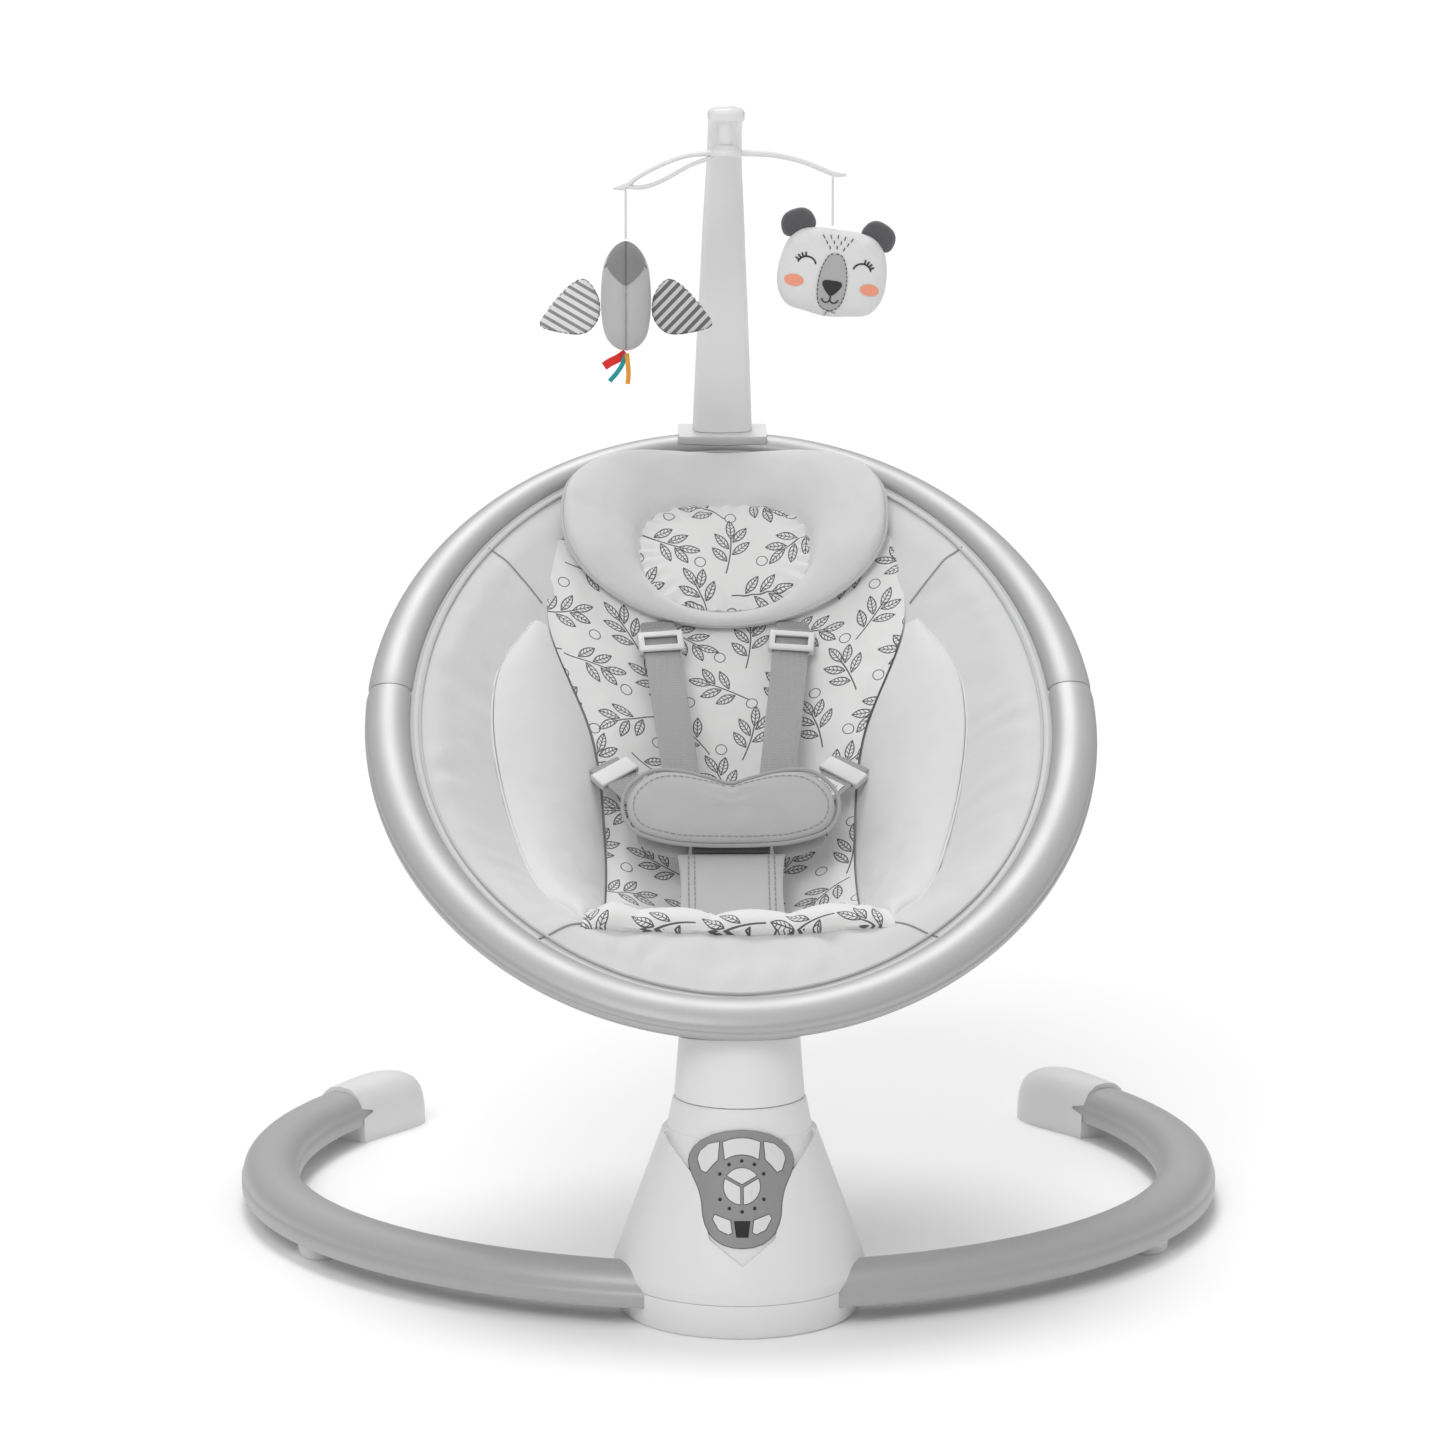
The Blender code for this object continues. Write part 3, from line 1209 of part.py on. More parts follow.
def mobile():
    """The hub and its arched bars: an open leaf on the left, a slim bar on the right."""
    hub = turned("mobile_hub_bar", [(0, HUB_TOP), (0.0075, HUB_TOP), (HUB_RADIUS, HUB_TOP - 0.003),
                                    (HUB_RADIUS, HUB_BOTTOM), (0, HUB_BOTTOM)], white_plastic(),
                 Matrix.Translation((0, MOBILE_BACK, 0)), 24)
    y = MOBILE_BACK
    right_x, right_z = RIGHT_STRING
    left_x, left_z = LEFT_STRING
    join(hub, bar_loft("right_bar", [(0.006, y, 0.7110, 0.0040, 0.0022), (0.030, y, 0.7098, 0.0036, 0.0020),
                                     (0.052, y, 0.7050, 0.0034, 0.0018),
                                     (right_x, y, right_z + 0.0020, 0.0034, 0.0020),
                                     (right_x + 0.0095, y, right_z + 0.0012, 0.0010, 0.0008)]))
    join(hub, bar_loft("left_bar_upper", [(-0.006, y, 0.7110, 0.0036, 0.0018),
                                          (-0.026, y, 0.7085, 0.0034, 0.0013),
                                          (-0.046, y, 0.7010, 0.0034, 0.0012),
                                          (-0.060, y, 0.6940, 0.0034, 0.0012),
                                          (left_x, y, left_z + 0.0022, 0.0034, 0.0022),
                                          (left_x - 0.0085, y, left_z + 0.0008, 0.0010, 0.0008)]))
    join(hub, bar_loft("left_bar_lower", [(-0.006, y, 0.7100, 0.0034, 0.0012),
                                          (-0.024, y, 0.7040, 0.0032, 0.0013),
                                          (-0.042, y, 0.6940, 0.0032, 0.0014),
                                          (-0.056, y, 0.6885, 0.0032, 0.0013),
                                          (left_x + 0.002, y, left_z + 0.0020, 0.0030, 0.0014)]))
    return hub


def string_of(name, place_on_bar):
    x, top = place_on_bar
    curve = bpy.data.curves.new(name, "CURVE")
    curve.dimensions = "3D"
    curve.bevel_depth = STRING_RADIUS
    curve.bevel_resolution = 2
    curve.use_fill_caps = True
    spline = curve.splines.new("POLY")
    count = 9
    spline.points.add(count - 1)
    for number, point in enumerate(spline.points):
        point.co = (x, MOBILE_BACK, top - GAP - STRING_LENGTH * number / (count - 1), 1)
    obj = place(name, curve, material("string", (0.85, 0.85, 0.85), 0.8))
    return obj


def ellipsoid(name, middle, radii, paint=None, rings=10, tilt=0.0):
    bm = bmesh.new()
    bmesh.ops.create_uvsphere(bm, u_segments=14, v_segments=rings, radius=1.0)
    bmesh.ops.scale(bm, vec=Vector(radii), verts=bm.verts)
    mesh = bpy.data.meshes.new(name)
    bm.to_mesh(mesh)
    bm.free()
    at = Matrix.Translation(middle) @ Matrix.Rotation(math.radians(tilt), 4, "Y")
    return smooth(place(name, mesh, paint, at), 180)


def bird():
    x, bar_low = LEFT_STRING
    top = bar_low - GAP - STRING_LENGTH - GAP
    half_tall = 0.0385
    middle = (x, MOBILE_BACK, top - half_tall)
    ellipsoid("bird_body", middle, (0.0172, 0.0180, half_tall),
              material("bird_grey", (0.45, 0.45, 0.46), 0.9))
    facing = frame((x, MOBILE_BACK, top - 0.050), (1, 0, 0), (0, -1, 0))
    half = [(0.0182, 0.011), (0.027, 0.0235), (0.037, 0.0205), (0.050, 0.007), (0.0605, -0.0085),
            (0.045, -0.0145),
            (0.028, -0.0150), (0.0180, -0.004)]
    striped = material("stripes", (0.60, 0.60, 0.60), 0.9)
    for side, sign in (("left", -1), ("right", 1)):
        slab("bird_wing_" + side, [rounded([(sign * a, b) for a, b in half], 2)], -0.0018, 0.0018, striped,
             facing)
    low = top - 2 * half_tall - GAP
    ribbons = [(0.0015, 0.0), (0.0030, -0.022), (-0.0010, -0.022), (-0.0012, -0.010), (-0.0105, -0.020),
               (-0.0135, -0.017), (-0.0030, -0.007), (-0.0155, -0.009), (-0.0150, -0.0035), (-0.0015, 0.0)]
    slab("bird_ribbons", [ribbons], -0.0008, 0.0008, material("ribbon_red", (0.75, 0.05, 0.04), 0.6),
         frame((x, MOBILE_BACK, low), (1, 0, 0), (0, -1, 0)))


def bear():
    x, bar_low = RIGHT_STRING
    top = bar_low - GAP - STRING_LENGTH - GAP
    head = ellipsoid("bear_head", (x, MOBILE_BACK, top - 0.0315), (0.0385, 0.0200, 0.0315),
                     material("bear_white", (0.85, 0.85, 0.85), 0.9))
    for sign, lift in ((-1, 0.0015), (1, -0.006)):
        join(head, ellipsoid("bear_ear", (x + sign * 0.0275, MOBILE_BACK, top - 0.0045 + lift),
                             (0.0115, 0.0040, 0.0125),
                             None, 8))
    return head


def build():
    tube_rooms = base_tubes()
    for side, sign, room in (("right", 1, tube_rooms[0]), ("left", -1, tube_rooms[1])):
        end_cap(side, sign, room)
        foot(side, sign)
    base_plate(tube_rooms)
    panel_room = slab("panel_room", [grown(PANEL_OUTLINE, GAP)], -0.03, 0.02, at=PANEL)
    housing_covers(tube_rooms, panel_room)
    neck()
    pivot()
    control_panel()
    lower_room, upper_room = hoop()
    swing_carrier(lower_room)
    arm_clamp(upper_room)
    seat_sling()
    seat_liner()
    head_pillow()
    for side, sign in (("left", -1), ("right", 1)):
        wing(side, sign)
        shoulder(side, sign)
        waist(side, sign)
    belly_pad()
    crotch_pad()
    toy_arm()
    mobile()
    string_of("bird_string", LEFT_STRING)
    string_of("bear_string", RIGHT_STRING)
    bird()
    bear()


build()
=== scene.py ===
"""The looks of the baby swing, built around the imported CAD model. All lengths are in metres."""

import math

import bpy
import bmesh
from mathutils import Matrix, Vector, noise
from mathutils.bvhtree import BVHTree


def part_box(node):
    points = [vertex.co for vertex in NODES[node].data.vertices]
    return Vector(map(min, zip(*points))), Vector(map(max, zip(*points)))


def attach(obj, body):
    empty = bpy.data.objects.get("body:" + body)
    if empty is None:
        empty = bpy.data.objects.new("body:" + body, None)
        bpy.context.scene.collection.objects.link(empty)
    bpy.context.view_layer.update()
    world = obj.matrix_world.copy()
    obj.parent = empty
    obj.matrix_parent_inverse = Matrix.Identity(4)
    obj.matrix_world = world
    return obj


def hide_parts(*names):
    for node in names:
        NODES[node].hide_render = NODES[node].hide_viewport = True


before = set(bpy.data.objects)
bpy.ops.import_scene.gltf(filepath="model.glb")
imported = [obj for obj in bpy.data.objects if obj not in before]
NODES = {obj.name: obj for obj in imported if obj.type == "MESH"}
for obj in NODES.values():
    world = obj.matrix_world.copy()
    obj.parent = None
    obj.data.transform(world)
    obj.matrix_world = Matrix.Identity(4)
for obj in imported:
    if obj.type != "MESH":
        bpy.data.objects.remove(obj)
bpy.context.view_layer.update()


# Sizes that the frame gives -----------------------------------------------------

HOOP_TILT = 32.0                # degrees, head end up
HOOP_CENTRE = Vector((0, 0.2135, 0.3465))
HOOP_HALF_WIDTH = 0.242
HOOP_HALF_LENGTH = 0.310
HOOP_TUBE_WIDTH = 0.030
HOOP_TUBE_THICKNESS = 0.016
HOOP_HEAD_SLIM = 0.32           # share of the section lost at the head
HOOP_SEAM = 0.017               # the halves meet this far above the middle
RING_BACK = 0.281
TUBE_WIDTH = 0.039
TUBE_HEIGHT = 0.024
TUBE_SIDE = 0.009
TUBE_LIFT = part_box("left_base_tube")[0].z
RING_RADIUS = -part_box("left_base_tube")[0].x - TUBE_WIDTH / 2
TUBE_ROOT_ANGLE = 5.9
TUBE_END_ANGLE = 120.6
MOBILE_BACK = 0.345

SEAT_UP = Vector((0, math.cos(math.radians(HOOP_TILT)), math.sin(math.radians(HOOP_TILT))))
SEAT_OUT = Vector((0, -SEAT_UP.z, SEAT_UP.y))
SEAT = Matrix.Translation(HOOP_CENTRE) @ Matrix.Rotation(math.radians(HOOP_TILT), 4, "X")


# Materials ----------------------------------------------------------------------

class Shader:
    """A node material with short calls for wiring it."""

    def __init__(self, name, colour, roughness, metallic=0.0, **sockets):
        self.material = bpy.data.materials.new(name)
        self.material.use_nodes = True
        self.tree = self.material.node_tree
        self.surface = self.tree.nodes["Principled BSDF"]
        self.surface.inputs["Base Color"].default_value = (*colour, 1)
        self.surface.inputs["Roughness"].default_value = roughness
        self.surface.inputs["Metallic"].default_value = metallic
        for socket, value in sockets.items():
            self.surface.inputs[socket.replace("_", " ")].default_value = value
        self.colour = colour
        self.bump_end = None

    def node(self, kind, **inputs):
        made = self.tree.nodes.new(kind)
        for socket, value in inputs.items():
            self.put(made.inputs[socket.replace("_", " ")], value)
        return made

    def put(self, socket, value):
        if isinstance(value, bpy.types.NodeSocket):
            self.tree.links.new(value, socket)
        else:
            socket.default_value = value

    def math(self, operation, *values):
        made = self.tree.nodes.new("ShaderNodeMath")
        made.operation = operation
        for socket, value in zip(made.inputs, values):
            self.put(socket, value)
        return made.outputs[0]

    def place(self):
        return self.node("ShaderNodeTexCoord").outputs["Object"]

    def noise(self, scale, detail=3.0, roughness=0.5, vector=None):
        made = self.node("ShaderNodeTexNoise", Vector=vector or self.place(), Scale=scale, Detail=detail,
                         Roughness=roughness)
        return made.outputs["Fac"]

    def bump(self, height, depth, strength=1.0):
        """Add a layer of relief, depth in metres."""
        made = self.node("ShaderNodeBump", Strength=strength, Distance=depth, Height=height)
        if self.bump_end:
            self.tree.links.new(self.bump_end, made.inputs["Normal"])
        self.bump_end = made.outputs["Normal"]
        self.tree.links.new(self.bump_end, self.surface.inputs["Normal"])

    def vary(self, factor, other, amount=1.0, base=None):
        """Colour that drifts from the base towards another where the factor is high."""
        mix = self.tree.nodes.new("ShaderNodeMix")
        mix.data_type = "RGBA"
        self.put(mix.inputs["Factor"], self.math("MULTIPLY", factor, amount))
        self.put(mix.inputs["A"], base or (*self.colour, 1))
        self.put(mix.inputs["B"], other if isinstance(other, bpy.types.NodeSocket) else (*other, 1))
        self.tree.links.new(mix.outputs["Result"], self.surface.inputs["Base Color"])
        return mix.outputs["Result"]

    def rough(self, factor, low, high):
        span = self.node("ShaderNodeMapRange", Value=factor, To_Min=low, To_Max=high)
        self.tree.links.new(span.outputs["Result"], self.surface.inputs["Roughness"])


def moulded(name, colour, roughness=0.38):
    """Moulded plastic with a fine spark-eroded grain."""
    shader = Shader(name, colour, roughness, Coat_Weight=0.08, Coat_Roughness=0.3)
    shader.vary(shader.noise(9.0, 2.0), tuple(c * 0.95 for c in colour), 0.5)
    shader.rough(shader.noise(35.0), roughness - 0.05, roughness + 0.08)
    shader.bump(shader.noise(2600.0, 2.0), 0.00004, 0.35)
    return shader.material


def satin_paint(name, colour):
    """Silver paint: a metallic flake under a satin lacquer."""
    shader = Shader(name, colour, 0.44, 0.30, Coat_Weight=0.15, Coat_Roughness=0.35)
    flakes = shader.noise(1600.0, 1.0)
    shader.vary(flakes, tuple(c * 1.35 for c in colour), 0.6)
    shader.rough(shader.noise(24.0), 0.40, 0.50)
    shader.bump(shader.noise(1300.0, 2.0), 0.00006, 0.4)
    return shader.material


def turned_steel(name):
    shader = Shader(name, (0.55, 0.55, 0.56), 0.3, 1.0)
    shader.bump(shader.noise(900.0), 0.00002, 0.4)
    return shader.material


def woven(shader, thread=0.0006, depth=0.00012, soft=0.6):
    """Relief of crossing threads, in the seat's own directions, and a softer mottle."""
    calc = shader.math
    turn = shader.node("ShaderNodeMapping", Vector=shader.place())
    turn.inputs["Rotation"].default_value = (-math.radians(HOOP_TILT), 0, 0)
    split = shader.node("ShaderNodeSeparateXYZ", Vector=turn.outputs["Vector"])
    rate = 2 * math.pi / (2 * thread)
    warp = calc("SINE", calc("MULTIPLY", split.outputs["X"], rate))
    weft = calc("SINE", calc("MULTIPLY", split.outputs["Y"], rate))
    shader.bump(calc("MULTIPLY", warp, weft), depth, 0.35)
    shader.bump(shader.noise(160.0, 3.0), 0.0004, soft * 0.5)
    return shader


def fabric(name, colour, shade=0.93, sheen=0.25, **weave):
    shader = Shader(name, colour, 0.86, Sheen_Weight=sheen, Sheen_Roughness=0.5)
    shader.vary(shader.noise(26.0, 4.0, 0.6), tuple(c * shade for c in colour), 0.8)
    return woven(shader, **weave).material


def leaf(shader, x, y, middle, tilt, half_long=0.172, half_wide=0.064):
    """One drawn leaf: a pointed outline, a midrib and slanting veins, as a mask."""
    calc = shader.math
    turn = math.radians(tilt)
    dx = calc("SUBTRACT", x, middle[0])
    dy = calc("SUBTRACT", y, middle[1])
    along = calc("MULTIPLY_ADD", dx, math.sin(turn), calc("MULTIPLY", dy, math.cos(turn)))
    across = calc("ABSOLUTE", calc("MULTIPLY_ADD", dx, math.cos(turn),
                                                 calc("MULTIPLY", dy, -math.sin(turn))))
    share = calc("DIVIDE", along, half_long)
    outline = calc("ADD", calc("DIVIDE", across, half_wide), calc("MULTIPLY", share, share))
    edge = calc("COMPARE", outline, 1.0, 0.15)
    inside = calc("LESS_THAN", outline, 1.0)
    rib = calc("LESS_THAN", across, 0.008)
    slant = calc("FRACT", calc("MULTIPLY", calc("MULTIPLY_ADD", across, -0.9, along), 15.5))
    veins = calc("MAXIMUM", rib, calc("LESS_THAN", slant, 0.24))
    return calc("MAXIMUM", edge, calc("MULTIPLY", inside, veins))


def sprig(shader, x, y):
    """A curved stem with a leaf at its tip and two on each side, one unit long, as a mask."""
    calc = shader.math
    bend = calc("MULTIPLY", calc("MULTIPLY", y, y), 0.22)
    x = calc("ADD", x, bend)
    marks = [leaf(shader, x, y, (0.0, 0.325), 0)]
    for start, side, tilt in ((0.075, 1, 40), (-0.05, -1, -40), (-0.15, 1, 48), (-0.275, -1, -48)):
        reach = 0.200
        middle = (side * (0.012 + reach * math.sin(math.radians(abs(tilt)))),
                  start + reach * math.cos(math.radians(tilt)))
        marks.append(leaf(shader, x, y, middle, tilt))
    stem = calc("MULTIPLY", calc("COMPARE", x, 0.0, 0.0105), calc("COMPARE", y, -0.15, 0.33))
    for mark in marks:
        stem = calc("MAXIMUM", stem, mark)
    return stem


PRINT_TURN = 4.6                # radians, the span of the sprigs' random turns
PRINT_ROW = 0.86                # a row's height, as a share of the pitch
PRINT_RING, PRINT_LINE = 0.0038, 0.00034


def printed(name, pitch=0.0435, length=0.0450):
    """White cotton printed with leaf sprigs turned every way, and small open rings between them."""
    paper = (0.80, 0.80, 0.795)
    shader = Shader(name, paper, 0.84, Sheen_Weight=0.2, Sheen_Roughness=0.5)
    calc = shader.math
    flat = shader.node("ShaderNodeUVMap")
    flat.uv_map = "cloth"
    split = shader.node("ShaderNodeSeparateXYZ", Vector=flat.outputs["UV"])
    across, along = split.outputs["X"], split.outputs["Y"]
    row = pitch * PRINT_ROW
    ink = None
    for layer in (0, 1):
        place_u = calc("ADD", calc("DIVIDE", across, pitch), 0.5 * layer + 0.1)
        place_v = calc("ADD", calc("DIVIDE", along, 2 * row), 0.5 * layer)
        cell_u, cell_v = calc("FLOOR", place_u), calc("FLOOR", place_v)
        cell = shader.node("ShaderNodeCombineXYZ", X=cell_u, Y=cell_v, Z=7.0 * layer + 2.0)
        chance = shader.node("ShaderNodeTexWhiteNoise", Vector=cell.outputs[0])
        chance.noise_dimensions = "3D"
        turn = calc("MULTIPLY", calc("SUBTRACT", chance.outputs["Value"], 0.5), PRINT_TURN)
        u = calc("MULTIPLY", calc("SUBTRACT", calc("FRACT", place_u), 0.5), pitch / length)
        v = calc("MULTIPLY", calc("SUBTRACT", calc("FRACT", place_v), 0.5), 2 * row / length)
        sine, cosine = calc("SINE", turn), calc("COSINE", turn)
        x = calc("SUBTRACT", calc("MULTIPLY", u, cosine), calc("MULTIPLY", v, sine))
        y = calc("ADD", calc("MULTIPLY", u, sine), calc("MULTIPLY", v, cosine))
        mark = sprig(shader, x, y)
        ink = mark if ink is None else calc("MAXIMUM", ink, mark)
        ring_u = calc("SUBTRACT", calc("FRACT", calc("ADD", place_u, 0.5)), 0.5)
        ring_v = calc("SUBTRACT", calc("FRACT", calc("ADD", place_v, 0.167)), 0.5)
        far_u, far_v = calc("MULTIPLY", ring_u, pitch), calc("MULTIPLY", ring_v, 2 * row)
        far = calc("SQRT", calc("ADD", calc("MULTIPLY", far_u, far_u),
                                              calc("MULTIPLY", far_v, far_v)))
        ink = calc("MAXIMUM", ink, calc("COMPARE", far, PRINT_RING, PRINT_LINE))
    cloth = shader.vary(shader.noise(26.0, 4.0), tuple(c * 0.94 for c in paper), 0.8)
    shader.vary(ink, (0.045, 0.045, 0.05), 0.92, cloth)
    return woven(shader).material


def banded(name, dark, pale, spacing, direction, share=0.5):
    """Printed stripes across one direction."""
    shader = Shader(name, pale, 0.85, Sheen_Weight=0.2)
    calc = shader.math
    split = shader.node("ShaderNodeVectorMath")
    split.operation = "DOT_PRODUCT"
    shader.tree.links.new(shader.place(), split.inputs[0])
    split.inputs[1].default_value = direction
    wave = calc("FRACT", calc("DIVIDE", split.outputs["Value"], spacing))
    shader.vary(calc("LESS_THAN", wave, share), dark, 0.95)
    return woven(shader).material


def tape(name, colour):
    """Webbing: fine slanting ribs across a firm weave."""
    shader = Shader(name, colour, 0.72, Sheen_Weight=0.35, Sheen_Roughness=0.4)
    calc = shader.math
    split = shader.node("ShaderNodeSeparateXYZ", Vector=shader.place())
    fold = calc("PINGPONG", split.outputs["X"], 0.0022)
    ribs = calc("SINE", calc("MULTIPLY", calc("ADD", split.outputs["Z"], fold), 4200.0))
    shader.bump(ribs, 0.00025, 0.8)
    shader.vary(calc("MULTIPLY", calc("ADD", ribs, 1.0), 0.5), tuple(c * 0.72 for c in colour), 0.7)
    return shader.material


def felt(name, colour, amount=0.5):
    """Felt: a dense mottle of light and dark fibres."""
    shader = Shader(name, colour, 0.95, Sheen_Weight=0.5, Sheen_Roughness=0.6)
    shader.vary(shader.noise(900.0, 4.0, 0.8), tuple(min(c * 3.0, 0.6) for c in colour), amount)
    shader.bump(shader.noise(700.0, 4.0), 0.0005, 0.6)
    return shader.material


def glossy(name, colour, roughness, grain, smoothest, roughest, **coat):
    """Polished dark plastic, its gloss drifting with the grain."""
    shader = Shader(name, colour, roughness, **coat)
    shader.rough(shader.noise(grain), smoothest, roughest)
    return shader.material


def grey(value, cast=0.005):
    """A grey, with a slight blue cast."""
    return value, value, value + cast


MATERIALS = {
    "white": moulded("white_plastic", grey(0.80, 0)),
    "cap_white": moulded("cap_plastic", grey(0.78, 0), 0.42),
    "silver": satin_paint("silver_paint", grey(0.40, 0.002)),
    # dark plastic: the own colour of the inner dark parts, and painted shade on the buckle button under the
    # belly pad
    "dark": moulded("dark_plastic", grey(0.10), 0.45),
    "carrier": moulded("carrier_plastic", grey(0.25), 0.42),
    "panel": moulded("panel_plastic", grey(0.28), 0.45),
    "button": moulded("button_plastic", grey(0.74), 0.40),
    "slider": moulded("slider_plastic", grey(0.62, 0), 0.30),
    "board": moulded("board_lacquer", (0.03, 0.16, 0.08), 0.35),
    "copper": moulded("coil_lacquer", (0.45, 0.20, 0.08), 0.30),
    "steel": turned_steel("turned_steel"),
    "band": fabric("band_fabric", grey(0.68)),
    "wing": fabric("wing_fabric", grey(0.74)),
    "pillow": fabric("pillow_fabric", grey(0.71)),
    "piping": fabric("piping_fabric", grey(0.56)),
    "print": printed("printed_cotton"),
    "belly": fabric("belly_fabric", grey(0.50)),
    "crotch": fabric("crotch_fabric", grey(0.53)),
    "tabs": fabric("tab_fabric", grey(0.40)),
    "webbing": tape("webbing", grey(0.43)),
    "label": fabric("label_satin", grey(0.80, 0), sheen=0.5),
    "ink": fabric("print_ink", grey(0.03)),
    "thread": fabric("stitching", grey(0.30)),
    "dark_thread": fabric("dark_stitching", grey(0.08)),
    "string": fabric("string_cotton", grey(0.78, 0)),
    "bird": fabric("bird_cotton", grey(0.52)),
    "bird_face": fabric("bird_face_cotton", grey(0.25)),
    "left_stripes": banded("left_wing_stripes", grey(0.25, 0.01), grey(0.80, 0), 0.0052, (0.50, 0, 0.86),
                           0.42),
    "right_stripes": banded("right_wing_stripes", grey(0.12), grey(0.62, 0), 0.0052, (-0.72, 0, 0.70), 0.5),
    "bear": fabric("bear_cotton", grey(0.78, 0)),
    "ear": felt("ear_felt", grey(0.045), 0.75),
    "cheek": fabric("cheek_print", (0.93, 0.36, 0.23)),
    "muzzle": fabric("muzzle_cotton", grey(0.45)),
    "red": fabric("red_ribbon", (0.78, 0.02, 0.015), sheen=0.4),
    "teal": fabric("teal_ribbon", (0.01, 0.34, 0.36), sheen=0.4),
    "orange": fabric("orange_ribbon", (0.85, 0.35, 0.03), sheen=0.4),
    "display": glossy("display_glass", grey(0.012, 0.001), 0.08, 60.0, 0.06, 0.12, Coat_Weight=0.6,
                      Coat_Roughness=0.03),
    "guide": glossy("light_guide", grey(0.018, 0.002), 0.15, 300.0, 0.12, 0.22, Coat_Weight=0.5),
}


# Mesh helpers -------------------------------------------------------------------

SHARP_FROM = math.radians(42)   # edges bent further than this stay sharp
SIDES = (("left", -1), ("right", 1))
FRONT = Vector((0, 1, 0))       # the way a mark is cast onto a toy

def put_in_scene(name, data):
    obj = bpy.data.objects.new(name, data)
    bpy.context.scene.collection.objects.link(obj)
    return obj


def dress(obj, paint):
    """Give an object one material from the list."""
    obj.data.materials.clear()
    obj.data.materials.append(MATERIALS[paint])
    return obj


def piece(name, mesh, paint, body):
    obj = dress(put_in_scene(name, mesh), paint)
    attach(obj, body)
    return obj


def mesh_from(name, points, faces):
    mesh = bpy.data.meshes.new(name)
    mesh.from_pydata([tuple(point) for point in points], [], faces)
    bm = bmesh.new()
    bm.from_mesh(mesh)
    bmesh.ops.recalc_face_normals(bm, faces=bm.faces)
    bm.to_mesh(mesh)
    bm.free()
    mesh.shade_smooth()
    mesh.set_sharp_from_angle(angle=SHARP_FROM)
    return mesh


def quads(first, second):
    """Faces between two closed rows of point numbers."""
    count = len(first)
    return [(first[k], first[(k + 1) % count], second[(k + 1) % count], second[k]) for k in range(count)]


def loft(name, rings, closed=False):
    """Skin a row of equal rings of points, capping the ends unless the row closes on itself."""
    count = len(rings[0])
    points = [point for ring in rings for point in ring]
    faces = []
    rows = [range(row * count, (row + 1) * count) for row in range(len(rings))]
    for row in range(len(rings) if closed else len(rings) - 1):
        faces += quads(rows[row], rows[(row + 1) % len(rings)])
    if not closed:
        faces.append(tuple(reversed(range(count))))
        faces.append(tuple(range((len(rings) - 1) * count, len(rings) * count)))
    return mesh_from(name, points, faces)


def curve_step(before, start, end, after, t):
    """A point at share t between start and end, on the smooth curve through all four points."""
    bend = 2 * before - 5 * start + 4 * end - after
    turn = 3 * start - before - 3 * end + after
    return 0.5 * (2 * start + (end - before) * t + bend * t * t + turn * t ** 3)


def smooth_ring(points, steps=3):
    """A closed outline curving through its points."""
    result = []
    count = len(points)
    for index in range(count):
        before, start, end, after = (Vector(points[(index + shift) % count]) for shift in (-1, 0, 1, 2))
        for step in range(steps):
            t = step / steps
            result.append(curve_step(before, start, end, after, t))
    return result


def smooth_line(points, steps=8):
    """An open line curving through its points."""
    points = [Vector(point) for point in points]
    padded = [2 * points[0] - points[1], *points, 2 * points[-1] - points[-2]]
    result = []
    for before, start, end, after in zip(padded, padded[1:], padded[2:], padded[3:]):
        for step in range(steps):
            t = step / steps
            result.append(curve_step(before, start, end, after, t))
    return [*result, points[-1]]


def cord_mesh(name, line, radius, closed=False, sides=10):
    """A round cord along a line of points."""
    rings = []
    count = len(line)
    for index, point in enumerate(line):
        before = line[index - 1] if closed or index else line[0]
        after = line[(index + 1) % count] if closed or index < count - 1 else line[-1]
        along = (after - before).normalized()
        across = along.cross(Vector((0.02, 0.31, 1.0))).normalized()
        up = across.cross(along)
        rings.append([point + (across * math.cos(t) + up * math.sin(t)) * radius
                      for t in turns(sides)])
    return loft(name, rings, closed)


def turns(count):
    """Evenly spaced angles round a circle."""
    return [2 * math.pi * k / count for k in range(count)]


def squared(value, power):
    """A sine or cosine pushed out towards a square."""
    return math.copysign(abs(value) ** power, value)


def blend(low, high, value):
    share = min(max((value - low) / (high - low), 0.0), 1.0)
    return share * share * (3 - 2 * share)


def seat_point(x, s, n):
    return SEAT @ Vector((x, s, n))


def curve_through(points, value):
    """Read a smooth curve through (place, amount) points, with the slope shared at each point."""
    places = [place for place, _ in points]
    index = min(max(sum(value > place for place in places) - 1, 0), len(points) - 2)
    (x0, y0), (x1, y1) = points[index], points[index + 1]

    def slope(here):
        before, after = points[max(here - 1, 0)], points[min(here + 1, len(points) - 1)]
        return (after[1] - before[1]) / (after[0] - before[0])

    width = x1 - x0
    t = min(max((value - x0) / width, 0.0), 1.0)
    return ((1 + 2 * t) * (1 - t) ** 2 * y0 + t * (1 - t) ** 2 * width * slope(index)
            + t * t * (3 - 2 * t) * y1 + t * t * (t - 1) * width * slope(index + 1))


def crumple(point, size, seed):
    """Smooth noise from -1 to 1."""
    return noise.noise(point / size + Vector((seed, seed * 1.7, 0)))


def tree_of(obj):
    """A search tree of an object's surface as it stands."""
    graph = bpy.context.evaluated_depsgraph_get()
    return BVHTree.FromObject(obj, graph)


CAST_FROM = 0.08                # how far before a surface a mark's points start
MARK_LIFT, THREAD_THICKNESS = 0.00035, 0.0003


